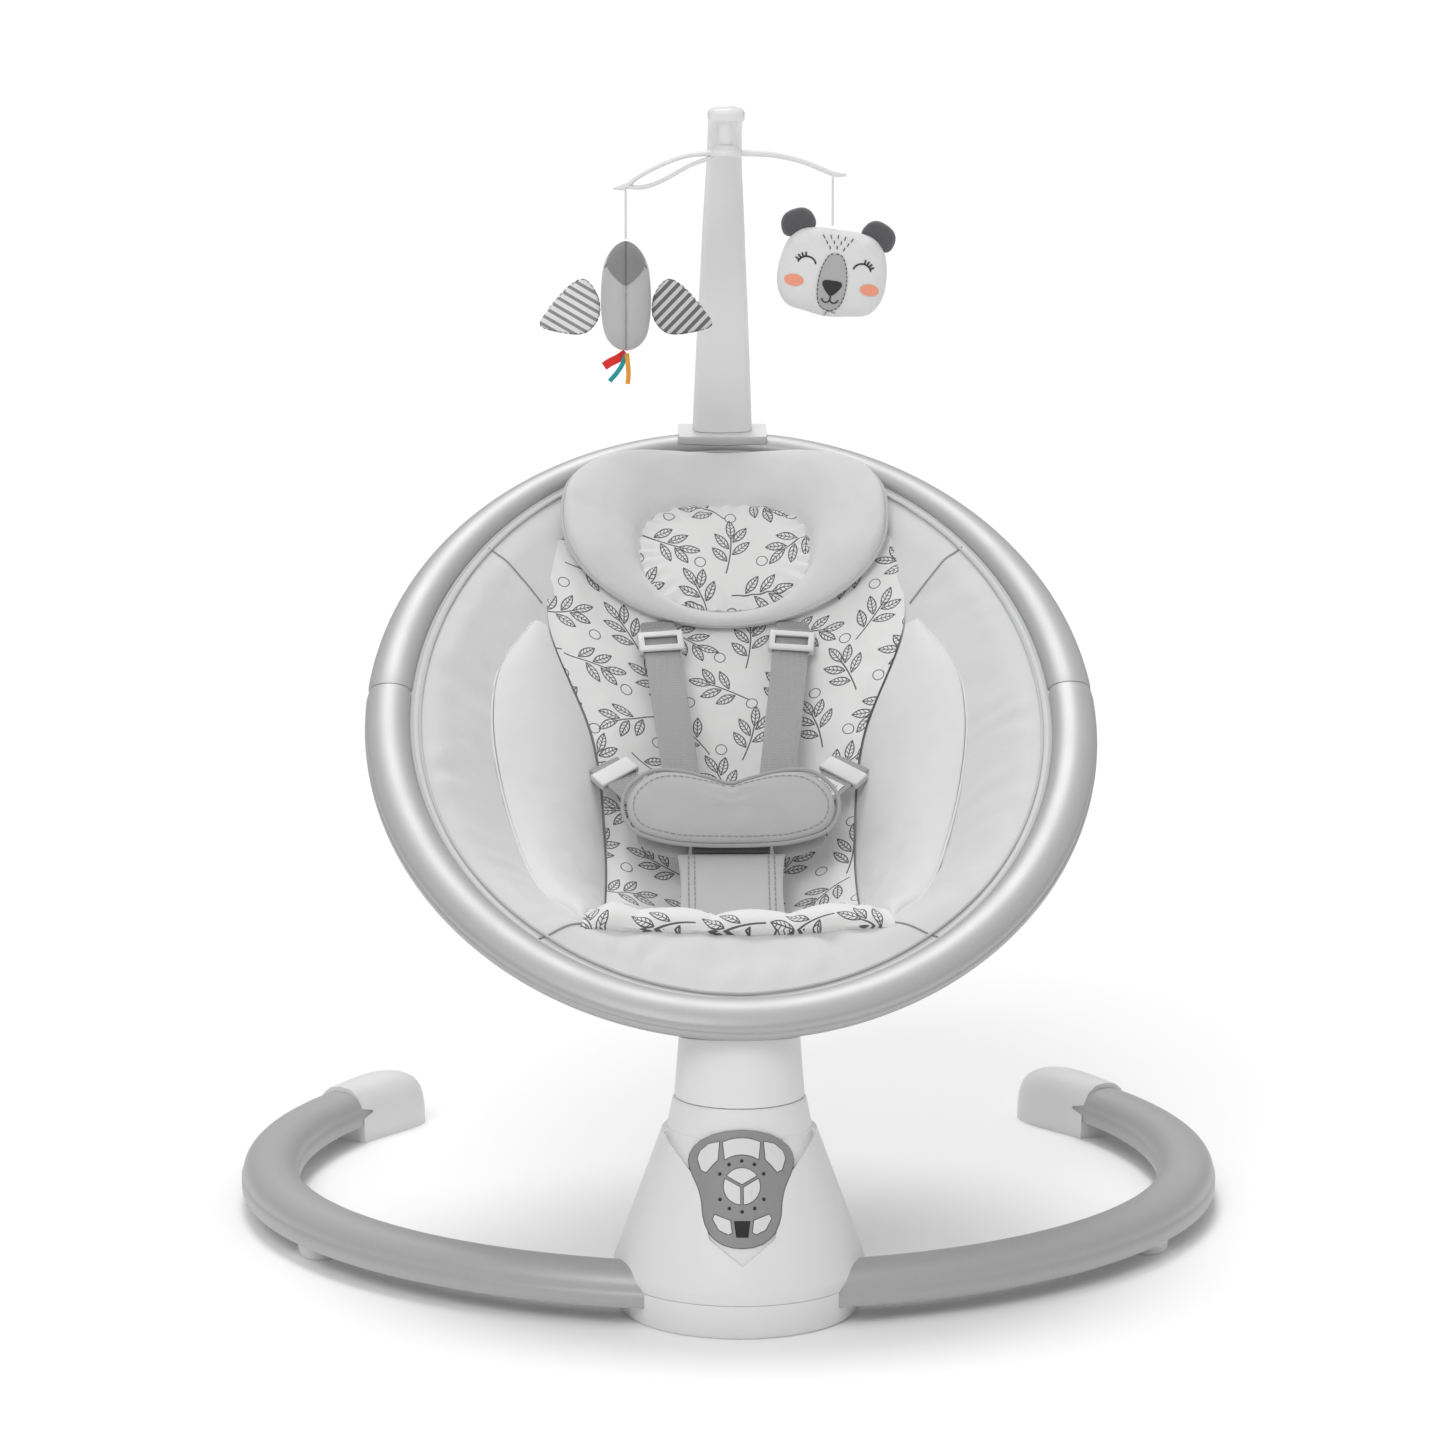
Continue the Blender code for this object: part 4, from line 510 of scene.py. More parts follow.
def drawn(name, tree, lines, width, paint, body, direction, lift=MARK_LIFT):
    """Flat marks or thread laid on a surface. Each line's points are cast onto it along the direction."""
    points, faces = [], []
    for line in lines:
        landed = []
        for point in line:
            hit, normal, _, _ = tree.ray_cast(point - direction * CAST_FROM, direction)
            if hit:
                landed.append((hit, normal if normal.dot(direction) < 0 else -normal))
        if len(landed) < 2:
            continue
        first = len(points)
        for index, (hit, normal) in enumerate(landed):
            before = landed[max(index - 1, 0)][0]
            after = landed[min(index + 1, len(landed) - 1)][0]
            across = (after - before).cross(normal).normalized() * width / 2
            points += [hit + normal * lift + across, hit + normal * lift - across]
        count = len(landed)
        for index in range(count - 1):
            base = first + 2 * index
            faces.append((base, base + 1, base + 3, base + 2))
    obj = piece(name, mesh_from(name, points, faces), paint, body)
    thick = obj.modifiers.new("thickness", "SOLIDIFY")
    thick.thickness = min(lift * 0.6, THREAD_THICKNESS)
    thick.offset = 1.0
    return obj


def dashes(line, dash, gap):
    """Cut a line of points into stitches."""
    result, current, travelled, on = [], [line[0]], 0.0, True
    for start, end in zip(line, line[1:]):
        length = (end - start).length
        travelled += length
        if on:
            current.append(end)
        if travelled > (dash if on else gap):
            if on and len(current) > 1:
                result.append(current)
            on = not on
            current = [end]
            travelled = 0.0
    return result


def fine(line, step):
    """The same line with points no further apart than a step."""
    result = []
    for start, end in zip(line, line[1:]):
        parts = max(int((end - start).length / step), 1)
        result += [start.lerp(end, k / parts) for k in range(parts)]
    return [*result, line[-1]]


SWELL_FRAMES = 10
CLOTH_STIFFNESS, CLOTH_BENDING, CLOTH_QUALITY = 12.0, 0.6, 5


def inflate(obj, pressure, cap):
    """Swell a closed soft form by cloth simulation, and keep the result in its mesh."""
    start = [vertex.co.copy() for vertex in obj.data.vertices]
    cloth = obj.modifiers.new("cloth", "CLOTH")
    cloth.settings.use_pressure = True
    cloth.settings.uniform_pressure_force = pressure
    cloth.settings.tension_stiffness = cloth.settings.compression_stiffness = CLOTH_STIFFNESS
    cloth.settings.bending_stiffness = CLOTH_BENDING
    cloth.settings.quality = CLOTH_QUALITY
    cloth.settings.effector_weights.gravity = 0
    cloth.point_cache.frame_start, cloth.point_cache.frame_end = 1, SWELL_FRAMES
    scene = bpy.context.scene
    for number in range(1, SWELL_FRAMES + 1):
        scene.frame_set(number)
    graph = bpy.context.evaluated_depsgraph_get()
    swollen = [vertex.co.copy() for vertex in obj.evaluated_get(graph).data.vertices]
    obj.modifiers.remove(cloth)
    scene.frame_set(1)
    for vertex, before, after in zip(obj.data.vertices, start, swollen):
        move = after - before
        if move.length > cap:
            move = move.normalized() * cap
        vertex.co = before + move
    obj.data.update()


def refine(obj):
    sub = obj.modifiers.new("fine", "SUBSURF")
    sub.levels = sub.render_levels = 1


def pad(name, over, under, columns, rows, paint, body):
    """A closed pad between two surfaces given over a square from -1 to 1."""
    points, index = [], {}

    def add(key, place):
        index[key] = len(points)
        points.append(place)

    for row in range(rows + 1):
        for column in range(columns + 1):
            u, v = 2 * column / columns - 1, 2 * row / rows - 1
            add((0, column, row), over(u, v))
            if 0 < column < columns and 0 < row < rows:
                add((1, column, row), under(u, v))
            else:
                index[(1, column, row)] = index[(0, column, row)]
    faces = []
    for row in range(rows):
        for column in range(columns):
            for side in (0, 1):
                corners = [index[(side, column + a, row + b)] for a, b in ((0, 0), (1, 0), (1, 1), (0, 1))]
                faces.append(tuple(corners if side == 0 else reversed(corners)))
    return piece(name, mesh_from(name, points, faces), paint, body)


def unwrap(obj, flat):
    """Store each point's place on the flat cloth, in metres."""
    layer = obj.data.uv_layers.new(name="cloth")
    for loop in obj.data.loops:
        layer.data[loop.index].uv = flat(obj.data.vertices[loop.vertex_index].co)


# CAD nodes that keep their shape ------------------------------------------------

KEPT = {
    "white": ("base_plate", "housing_front_cover", "housing_rear_cover", "neck_shell", "arm_clamp"),
    "cap_white": ("left_end_cap", "right_end_cap", "left_foot", "right_foot"),
    "carrier": ("swing_carrier",),
    # the buckle button takes the dark plastic as painted shade: it stands in for the shadow under the belly
    # pad
    "dark": ("power_inlet", "bearing_tube", "drive_magnet_arm", "buckle_body", "buckle_button"),
    "panel": ("control_panel",),
    "button": tuple(name for name in NODES if name.startswith("button_")),
    "display": ("display_window",),
    "guide": ("led_light_guide",),
    "board": ("circuit_board",),
    "copper": ("drive_coil",),
    "steel": ("pivot_shaft", "upper_bearing", "lower_bearing"),
    "slider": ("shoulder_slider_left", "shoulder_slider_right", "waist_keeper_left", "waist_keeper_right"),
}


WELD_REACH = 0.00002
EDGE, SMALL_EDGE = 0.0008, 0.0004   # widths of the softened edges
SOFTEN_FROM = math.radians(40)


def keep_cad_nodes():
    """Rounded edges and even shading by modifiers, with the node's mesh as it is."""
    for paint, names in KEPT.items():
        for name in names:
            obj = dress(NODES[name], paint)
            obj.data.shade_smooth()
            weld = obj.modifiers.new("weld", "WELD")
            weld.merge_threshold = WELD_REACH
            soften = obj.modifiers.new("soften", "BEVEL")
            soften.width = SMALL_EDGE if name.startswith(("button", "shoulder", "waist", "display")) else EDGE
            soften.segments = 2
            soften.limit_method = "ANGLE"
            soften.angle_limit = SOFTEN_FROM
            soften.use_clamp_overlap = True
            even = obj.modifiers.new("even", "WEIGHTED_NORMAL")
            even.keep_sharp = True


# Tubes --------------------------------------------------------------------------

def floor_tube_section():
    """Upright sides, a crisp crease, and a broad arch between, as (across, up)."""
    half = TUBE_WIDTH / 2
    rise = TUBE_HEIGHT - TUBE_SIDE
    right = [(half - 0.0015, 0), (half - 0.0004, 0.0004), (half, 0.0015), (half, TUBE_SIDE - 0.0006),
             (half - 0.0005, TUBE_SIDE)]
    arch = [(half * 0.955 * squared(math.cos(a), 0.85), TUBE_SIDE + rise * math.sin(a) ** 0.9)
            for a in (math.radians(8 + 164 * k / 22) for k in range(23))]
    left = [(-x, z) for x, z in reversed(right)]
    return right + arch + left


def ring_place(angle, out, height):
    turn = math.radians(angle)
    radius = RING_RADIUS + out
    return Vector((radius * math.sin(turn), RING_BACK - radius * math.cos(turn), height))


def floor_tubes():
    steps = 150
    for side, sign in SIDES:
        rings = []
        for step in range(steps + 1):
            angle = sign * (TUBE_ROOT_ANGLE + (TUBE_END_ANGLE - TUBE_ROOT_ANGLE) * step / steps)
            rings.append([ring_place(angle, across, TUBE_LIFT + up) for across, up in floor_tube_section()])
        tube = piece(side + "_floor_tube", loft(side + "_floor_tube", rings), "silver", "stand")
        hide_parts(side + "_base_tube")


def hoop_section(scale):
    """A rounded tube with a groove above a lip along its outer edge."""
    half = HOOP_TUBE_WIDTH / 2
    deep = HOOP_TUBE_THICKNESS / 2
    shape = [(-0.55, -1.0), (0.0, -1.02), (0.55, -1.0), (0.84, -0.85), (0.965, -0.60), (1.0, -0.40),
             (0.995, -0.22),
             (0.975, -0.12), (0.935, -0.06), (0.925, 0.0), (0.935, 0.07), (0.930, 0.20), (0.88, 0.40),
             (0.76, 0.62),
             (0.45, 0.88), (0.0, 1.0), (-0.45, 0.90), (-0.80, 0.62), (-0.98, 0.10), (-0.88, -0.60)]
    return [(x * half * scale, z * deep * scale) for x, z in smooth_ring(shape, 3)]


def hoop_halves():
    seam = math.asin(HOOP_SEAM / HOOP_HALF_LENGTH)
    spare = 0.0004 / HOOP_HALF_LENGTH
    steps = 150
    for name, node, start, end in (
        ("hoop_front_half", "hoop_lower_tube", math.pi - seam + spare, 2 * math.pi + seam - spare),
        ("hoop_head_half", "hoop_upper_tube", seam + spare, math.pi - seam - spare),
    ):
        rings = []
        for step in range(steps + 1):
            turn = start + (end - start) * step / steps
            scale = 1 - HOOP_HEAD_SLIM * max(math.sin(turn), 0) ** 2
            edge = Vector((HOOP_HALF_WIDTH * math.cos(turn), HOOP_HALF_LENGTH * math.sin(turn), 0))
            out = Vector((math.cos(turn) / HOOP_HALF_WIDTH, math.sin(turn) / HOOP_HALF_LENGTH,
                          0)).normalized()
            middle = edge - out * HOOP_TUBE_WIDTH / 2 * scale
            tuck = 1 - 0.05 * (1 - blend(0, 0.006, min(step, steps - step) / steps * (end - start) * 0.27))
            rings.append([SEAT @ (middle + out * x * tuck + Vector((0, 0, z * tuck))) for x,
                          z in hoop_section(scale)])
        half = piece(name, loft(name, rings), "silver", "seat")
        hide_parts(node)


# Seat ---------------------------------------------------------------------------

SEAT_PROFILE = [(-0.282, 0.0), (-0.245, -0.008), (-0.212, -0.012), (-0.180, -0.044), (-0.145, -0.090),
                (-0.105, -0.118), (-0.060, -0.125), (0.000, -0.114), (0.080, -0.088), (0.170, -0.056),
                (0.235, -0.030), (0.289, 0.0)]
LINER_HALF_WIDTHS = [(-0.217, 0.099), (-0.165, 0.087), (-0.110, 0.084), (-0.030, 0.084), (0.050, 0.093),
                     (0.128, 0.124), (0.200, 0.118)]
LINER_FRONT, LINER_BACK = -0.217, 0.200
WING_OUTER = [(-0.204, 0.094), (-0.150, 0.117), (-0.085, 0.137), (-0.020, 0.152), (0.030, 0.157),
              (0.075, 0.152),
              (0.128, 0.129)]
WING_FRONT, WING_BACK = -0.204, 0.128
LINER_THICKNESS = 0.008
SOFT_GAP = 0.0014               # room between one soft piece and the next
SLING_HALF_WIDTH = HOOP_HALF_WIDTH - HOOP_TUBE_WIDTH - SOFT_GAP


def sling_half_length(s):
    head = HOOP_TUBE_WIDTH * (1 - HOOP_HEAD_SLIM)
    return HOOP_HALF_LENGTH - (head if s > 0 else HOOP_TUBE_WIDTH) - SOFT_GAP


def sling_height(x, s):
    """The bucket's upper surface, out of the hoop's plane."""
    room = 1 - (s / sling_half_length(s)) ** 2
    if room <= 0:
        return 0.0
    across = min(abs(x) / (SLING_HALF_WIDTH * math.sqrt(room)), 1.0)
    return curve_through(SEAT_PROFILE, s) * (1 - across ** 2) ** 1.3


def raised(x, s, amount):
    """The sling's height moved out along its own normal by about this amount."""
    reach = 0.003
    along = (sling_height(x, s + reach) - sling_height(x, s - reach)) / (2 * reach)
    across = (sling_height(x + reach, s) - sling_height(x - reach, s)) / (2 * reach)
    return sling_height(x, s) + amount * math.hypot(1, along, across)


CLOTH_START, CLOTH_STEP, CLOTH_STEPS = -0.29, 0.004, 150


def cloth_length(s):
    """Distance along the bucket's middle line from its front."""
    total = 0.0
    here = CLOTH_START
    while here < s:
        rise = curve_through(SEAT_PROFILE, here + CLOTH_STEP) - curve_through(SEAT_PROFILE, here)
        total += math.hypot(CLOTH_STEP, rise)
        here += CLOTH_STEP
    return total


CLOTH_LENGTHS = [cloth_length(CLOTH_START + CLOTH_STEP * k) for k in range(CLOTH_STEPS)]


def flat_place(point):
    """Where a point of the seat lies on the flat cloth."""
    local = SEAT.inverted() @ point
    index = min(max((local.y - CLOTH_START) / CLOTH_STEP, 0), CLOTH_STEPS - 2)
    low = int(index)
    length = CLOTH_LENGTHS[low] + (CLOTH_LENGTHS[low + 1] - CLOTH_LENGTHS[low]) * (index - low)
    return local.x, length


def hoop_inner_edge(turn, further=0.0):
    """A point on the hoop tube's inner edge, in the seat's plane."""
    width = HOOP_TUBE_WIDTH * (1 - HOOP_HEAD_SLIM * max(math.sin(turn), 0) ** 2) + further
    out = Vector((math.cos(turn) / HOOP_HALF_WIDTH, math.sin(turn) / HOOP_HALF_LENGTH)).normalized()
    return Vector((HOOP_HALF_WIDTH * math.cos(turn), HOOP_HALF_LENGTH * math.sin(turn))) - out * width


def sling_puff(x, s, share):
    """How far the stuffed rim panels stand up, with the pulls that run in from the hoop."""
    spot = Vector((x, s, 0))
    turn = math.atan2(s / HOOP_HALF_LENGTH, x / HOOP_HALF_WIDTH)
    ring = blend(0.60, 0.84, share) * (1 - blend(0.90, 0.995, share))
    reach = 0.35 + 0.65 * blend(0.66, 0.92, share)
    pulls = math.sin(turn * 46 + 5 * crumple(spot, 0.05, 2)) * max(crumple(spot, 0.036, 9) + 0.25, 0)
    soft = crumple(spot, 0.055, 14)
    return ring * (0.0058 + 0.0022 * pulls * reach + 0.0020 * soft + 0.0007 * crumple(spot, 0.016, 4))


def sling():
    """The grey outer bucket: puffed panels between the seams, with pulls that run in from the hoop."""
    columns, rows = 120, 140

    def spot(u, v):
        v = 2 * ((v + 1) / 2) ** 1.2 - 1
        x = u * math.sqrt(1 - v * v / 2)
        s = v * math.sqrt(1 - u * u / 2)
        return x * SLING_HALF_WIDTH, s * sling_half_length(s), math.hypot(x, s)

    def over(u, v):
        x, s, share = spot(u, v)
        return seat_point(x, s, sling_height(x, s) + sling_puff(x, s, share))

    def under(u, v):
        x, s, _ = spot(u, v)
        return seat_point(x, s, raised(x, s, -0.004))

    bucket = pad("seat_bucket", over, under, columns, rows, "band", "seat")
    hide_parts("seat_sling")
    tree = tree_of(bucket)
    lines = []
    for sign in (-1, 1):
        for route in (((0.186, 0.193), (0.160, 0.170), (0.128, 0.141)),
                      ((0.150, -0.238), (0.118, -0.222), (0.094, -0.210))):
            lines.append(fine(smooth_line([seat_point(sign * a, b, 0) for a, b in route]), 0.002))
    drawn("bucket_seams", tree, lines, 0.0012, "thread", "seat", -SEAT_OUT)
    for number, (further, height, radius) in enumerate(((0.0009, -0.0012, 0.0017), (0.0062, 0.0006, 0.0010))):
        line = []
        for turn in turns(260):
            x, s = hoop_inner_edge(turn, further)
            local = sling_height(x, s) + sling_puff(x, s, 0.97) if number else 0.0
            line.append(seat_point(x, s, local + height))
        name = "rim_piping_%d" % (number + 1)
        piece(name, cord_mesh(name, line, radius, True, 8), "piping", "seat")


ROLL_LENGTH, ROLL_HEIGHT = 0.062, 0.0105        # the liner's rolled front
PUFF_WIDTH, PUFF_HEIGHT = 0.046, 0.0060


def liner_top(x, s):
    """The printed liner's upper surface: dimpled, and rolled over in puffs at its front."""
    half = curve_through(LINER_HALF_WIDTHS, s)
    edge = 1 - blend(0.80, 1.0, abs(x) / half) * 0.55
    spot = Vector((x, s, 0))
    hollows = 0.0017 * crumple(spot, 0.034, 1) + 0.0007 * crumple(spot, 0.013, 7)
    puff = abs(math.sin(math.pi * x / PUFF_WIDTH + 0.9 + 0.6 * crumple(spot, 0.04, 5))) ** 0.7
    reach = min(max((s + 0.2175) / ROLL_LENGTH, 0.0), 1.0)
    roll = math.sin(math.pi * reach ** 0.8) ** 0.7
    front = blend(-0.150, -0.175, s)
    return (raised(x, s, SOFT_GAP) + LINER_THICKNESS * edge * (1 - 0.35 * front) + hollows * edge * (1 - front)
            + roll * edge * (ROLL_HEIGHT + PUFF_HEIGHT * puff))


def liner():
    def spot(u, v):
        v = 2 * ((v + 1) / 2) ** 1.15 - 1
        s = LINER_FRONT + (LINER_BACK - LINER_FRONT) * (v + 1) / 2
        return u * (curve_through(LINER_HALF_WIDTHS, s) - 0.0008), s

    def over(u, v):
        x, s = spot(u, v)
        return seat_point(x, s, liner_top(x, s))

    def under(u, v):
        x, s = spot(u, v)
        return seat_point(x, s, raised(x, s, 0.0016))

    cloth = pad("printed_liner", over, under, 84, 150, "print", "seat")
    unwrap(cloth, flat_place)
    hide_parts("seat_liner")


WING_CROWN = 0.0150


def wings():
    """The padded side bolsters, swollen by simulation, with a stitched line near the outer edge."""
    for side, sign in SIDES:
        def spot(u, v):
            s = WING_FRONT + (WING_BACK - WING_FRONT) * (v + 1) / 2
            inner = curve_through(LINER_HALF_WIDTHS, s) - 0.0002
            outer = max(curve_through(WING_OUTER, s) + 0.003, inner + 0.004)
            share = (u + 1) / 2
            return sign * (inner + (outer - inner) * share), s, share

        def over(u, v):
            x, s, share = spot(u, v)
            crown = (1 - abs(2 * share - 1) ** 2.2) * (1 - abs(v) ** 5)
            drift = 0.0016 * crumple(Vector((x, s, 0)), 0.045, 3) + 0.0006 * crumple(Vector((x, s, 0)),
                                                                                     0.015, 8)
            return seat_point(x, s, raised(x, s, 0.0036) + WING_CROWN * crown + drift * crown)

        def under(u, v):
            x, s, _ = spot(u, v)
            return seat_point(x, s, raised(x, s, 0.0022))

        bolster = pad("side_bolster_" + side, over, under, 30, 84, "wing", "seat")
        inflate(bolster, 1.6, 0.003)
        refine(bolster)
        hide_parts("wing_" + side)
        line = []
        for k in range(91):
            x, s, _ = spot(1.0, -0.97 + 1.94 * k / 90)
            line.append(seat_point(x, s, raised(x, s, 0.0034)))
        name = "bolster_piping_" + side
        piece(name, cord_mesh(name, line, 0.0009, False, 8), "wing", "seat")


PILLOW_MIDDLE = 0.2100
PILLOW_HALF_WIDTH, PILLOW_HALF_LENGTH = 0.1145, 0.0625
DISH_MIDDLE = 0.1975
DISH_HALF_WIDTH, DISH_HALF_LENGTH = 0.061, 0.0405
SQUARENESS = 2.5                # 2 is an oval, more is squarer
DISH_THICKNESS, RIM_RISE = 0.0045, 0.0150


def squarish(x, s):
    """The squarish oval's own distance from its middle, 1 at the rim."""
    return (abs(x) ** SQUARENESS + abs(s) ** SQUARENESS) ** (1 / SQUARENESS)


def disc_point(u, v):
    """Map a square to a squarish oval of half size 1."""
    if not (u or v):
        return 0.0, 0.0
    share = max(abs(u), abs(v)) / squarish(u, v)
    return u * share, v * share


def pillow_floor(x, s):
    return raised(x, s, SOFT_GAP) + LINER_THICKNESS + SOFT_GAP


def pillow_over(x, s):
    """A stuffed rim, broad above and at the sides and thin below, round a dish."""
    out = squarish(x / PILLOW_HALF_WIDTH, (s - PILLOW_MIDDLE) / PILLOW_HALF_LENGTH)
    dish = squarish(x / DISH_HALF_WIDTH, (s - DISH_MIDDLE) / DISH_HALF_LENGTH)
    if dish <= 1:
        return DISH_THICKNESS
    from_dish = math.hypot(x, s - DISH_MIDDLE) * (1 - 1 / dish)
    from_rim = math.hypot(x, s - PILLOW_MIDDLE) * max(1 / max(out, 0.001) - 1, 0)
    width = from_dish + from_rim
    share = from_dish / max(width, 0.0001)
    spot = Vector((x, s, 0))
    folds = 0.0014 * crumple(spot, 0.028, 11) + 0.0007 * crumple(spot, 0.011, 12)
    crown = max(4 * share * (1 - share), 0) ** 0.36
    return DISH_THICKNESS + crown * min(width / 0.045, 1.0) ** 0.8 * (RIM_RISE + folds)


def pillow():
    def spot(u, v):
        x, s = disc_point(u, v)
        return x * PILLOW_HALF_WIDTH, PILLOW_MIDDLE + s * PILLOW_HALF_LENGTH

    def over(u, v):
        x, s = spot(u, v)
        return seat_point(x, s, pillow_floor(x, s) + pillow_over(x, s))

    def under(u, v):
        x, s = spot(u, v)
        return seat_point(x, s, pillow_floor(x, s))

    cushion = pad("neck_pillow", over, under, 80, 80, "pillow", "seat")
    inflate(cushion, 1.2, 0.0025)
    refine(cushion)
    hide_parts("head_pillow")
    for name, half_wide, half_long, middle, height, radius in (
        ("pillow_piping", PILLOW_HALF_WIDTH, PILLOW_HALF_LENGTH, PILLOW_MIDDLE, 0.0052, 0.0013),
        ("pillow_dish_seam", DISH_HALF_WIDTH, DISH_HALF_LENGTH, DISH_MIDDLE, 0.0060, 0.0007),
    ):
        line = []
        for turn in turns(160):
            share = 0.998 / squarish(math.cos(turn), math.sin(turn))
            x, s = half_wide * share * math.cos(turn), middle + half_long * share * math.sin(turn)
            line.append(seat_point(x, s, pillow_floor(x, s) + height))
        piece(name, cord_mesh(name, line, radius, True, 8), "piping", "seat")

    def inner(u, v):
        x, s = disc_point(u, v)
        return x * DISH_HALF_WIDTH * 0.995, DISH_MIDDLE + s * DISH_HALF_LENGTH * 0.995

    def dish_over(u, v):
        x, s = inner(u, v)
        edge = max(abs(u), abs(v))
        turn = math.atan2(v, u)
        pucker = 0.0009 * math.sin(turn * 30 + 3 * crumple(Vector((x, s, 0)), 0.02, 6)) * blend(0.62, 0.98,
                                                                                                edge)
        return seat_point(x, s, pillow_floor(x, s) + 0.0064 + 0.0050 * (1 - edge ** 4) + pucker)

    def dish_under(u, v):
        x, s = inner(u, v)
        return seat_point(x, s, pillow_floor(x, s) + 0.0048)

    dish = pad("pillow_print", dish_over, dish_under, 60, 60, "print", "seat")
    unwrap(dish, lambda point: tuple(a + b for a, b in zip(flat_place(point), (0.013, 0.008))))
    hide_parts("pillow_insert")


# Harness ------------------------------------------------------------------------

WEBBING_WIDTH, WEBBING_THICKNESS, TAIL_WIDTH = 0.025, 0.0016, 0.0244
LABEL_WIDTH, LABEL_THICKNESS = 0.019, 0.0005
WAIST_OUT = Vector((0, -0.45, 0.9))     # the way the waist straps face


def strap(name, node, start, end, out, paint="webbing", width=WEBBING_WIDTH, thickness=WEBBING_THICKNESS):
    """Webbing from one point to another, with rolled edges and a slow twist, its face looking out."""
    along = (end - start).normalized()
    across = along.cross(out).normalized()
    out = across.cross(along).normalized()
    rings = []
    steps = 60
    for step in range(steps + 1):
        t = step / steps
        place = start.lerp(end, t)
        twist = 0.04 * math.sin(t * 9)
        side = across + out * twist
        ring = []
        for turn in turns(20):
            c, s = math.cos(turn), math.sin(turn)
            ring.append(place + side * width / 2 * squared(c, 0.25)
                        + out * thickness / 2 * squared(s, 0.6))
        rings.append(ring)
    obj = piece(name, loft(name, rings), paint, "seat")
    if node:
        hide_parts(node)
    return obj


def strap_ends(node):
    """The two end middles of a straight CAD strap, upper end first."""
    points = [vertex.co.copy() for vertex in NODES[node].data.vertices]
    high = max(p.z for p in points)
    low = min(p.z for p in points)
    reach = (high - low) * 0.25
    top = [p for p in points if p.z > high - reach]
    bottom = [p for p in points if p.z < low + reach]
    return sum(top, Vector()) / len(top), sum(bottom, Vector()) / len(bottom)


def harness():
    for side in ("left", "right"):
        top, bottom = strap_ends("shoulder_strap_" + side)
        along = (bottom - top).normalized()
        strap("shoulder_webbing_" + side, "shoulder_strap_" + side, top, bottom, SEAT_OUT)
        start = top + along * 0.002 - SEAT_OUT * 0.0024
        strap("shoulder_webbing_tail_" + side, None, start - along * 0.012, start + along * 0.034, SEAT_OUT,
              width=TAIL_WIDTH)
        top, bottom = strap_ends("waist_strap_" + side)
        strap("waist_webbing_" + side, "waist_strap_" + side, top, bottom, WAIST_OUT)
    label_strip()


def label_strip():
    """A plain satin strip along the right waist strap, with fine blank lines woven in."""
    top, bottom = strap_ends("waist_strap_right")
    along = (bottom - top).normalized()
    out = WAIST_OUT.normalized()
    lift = out * 0.0016
    strip = strap("label_strip", None, top + along * 0.024 + lift, bottom - along * 0.004 + lift, out,
                  "label",
                  width=LABEL_WIDTH, thickness=LABEL_THICKNESS)
    across = along.cross(out).normalized()
    tree = tree_of(strip)
    lines = []
    for k in range(6):
        start = top + along * 0.027 + across * (-0.006 + 0.0022 * k)
        lines.append(fine([start, bottom - along * 0.008 + across * (-0.006 + 0.0022 * k)], 0.002))
    drawn("label_lines", tree, lines, 0.0005, "thread", "seat", -out)


BELLY_THICKNESS = 0.012
BELLY = SEAT @ Matrix.Translation((0, -0.036, -0.058)) @ Matrix.Rotation(math.radians(25), 4, "X")
BELLY_HALF = [(0, 0.0175), (0.014, 0.0215), (0.035, 0.0268), (0.054, 0.0262), (0.0685, 0.0140),
              (0.0718, -0.0020),
              (0.0640, -0.0165), (0.0420, -0.0245), (0.0200, -0.0268), (0, -0.0272)]


def full_outline(half, steps=5):
    left = [(-x, y) for x, y in reversed(half) if x > 0.00001]
    return smooth_ring([*half, *left], steps)


def patch_outline(half, steps):
    """A mirrored outline as points that a printed patch can use."""
    return [point.to_3d() for point in full_outline(half, steps)]


def ruffle(obj, at, amount):
    """Move each point out of its pad's plane by an amount worked out from its place."""
    for vertex in obj.data.vertices:
        local = at.inverted() @ vertex.co
        local.z += amount(local)
        vertex.co = at @ local


def flat_crumple(local, size, seed):
    return crumple(Vector((local.x, local.y, 0)), size, seed)


def outline_pad(name, outline, at, thickness, paint, body, rings=9):
    """A crowned pad with this outline: rings of points shrink to its middle on both faces."""
    middle = sum((Vector(point) for point in outline), Vector((0, 0))) / len(outline)
    count = len(outline)
    points = [at @ Vector((x, y, 0)) for x, y in outline]
    faces = []

    def face(side):
        before = range(count)
        for ring in range(1, rings):
            share = 1 - ring / rings
            height = side * thickness / 2 * (1 - share ** 2.4) ** 0.5
            first = len(points)
            for x, y in outline:
                place = middle.lerp(Vector((x, y)), share)
                points.append(at @ Vector((place.x, place.y, height)))
            row = range(first, first + count)
            faces.extend(quads(before, row))
            before = row
        tip = len(points)
        points.append(at @ Vector((middle.x, middle.y, side * thickness / 2)))
        for index in range(count):
            faces.append((before[index], before[(index + 1) % count], tip))

    face(1)
    face(-1)
    return piece(name, mesh_from(name, points, faces), paint, body)


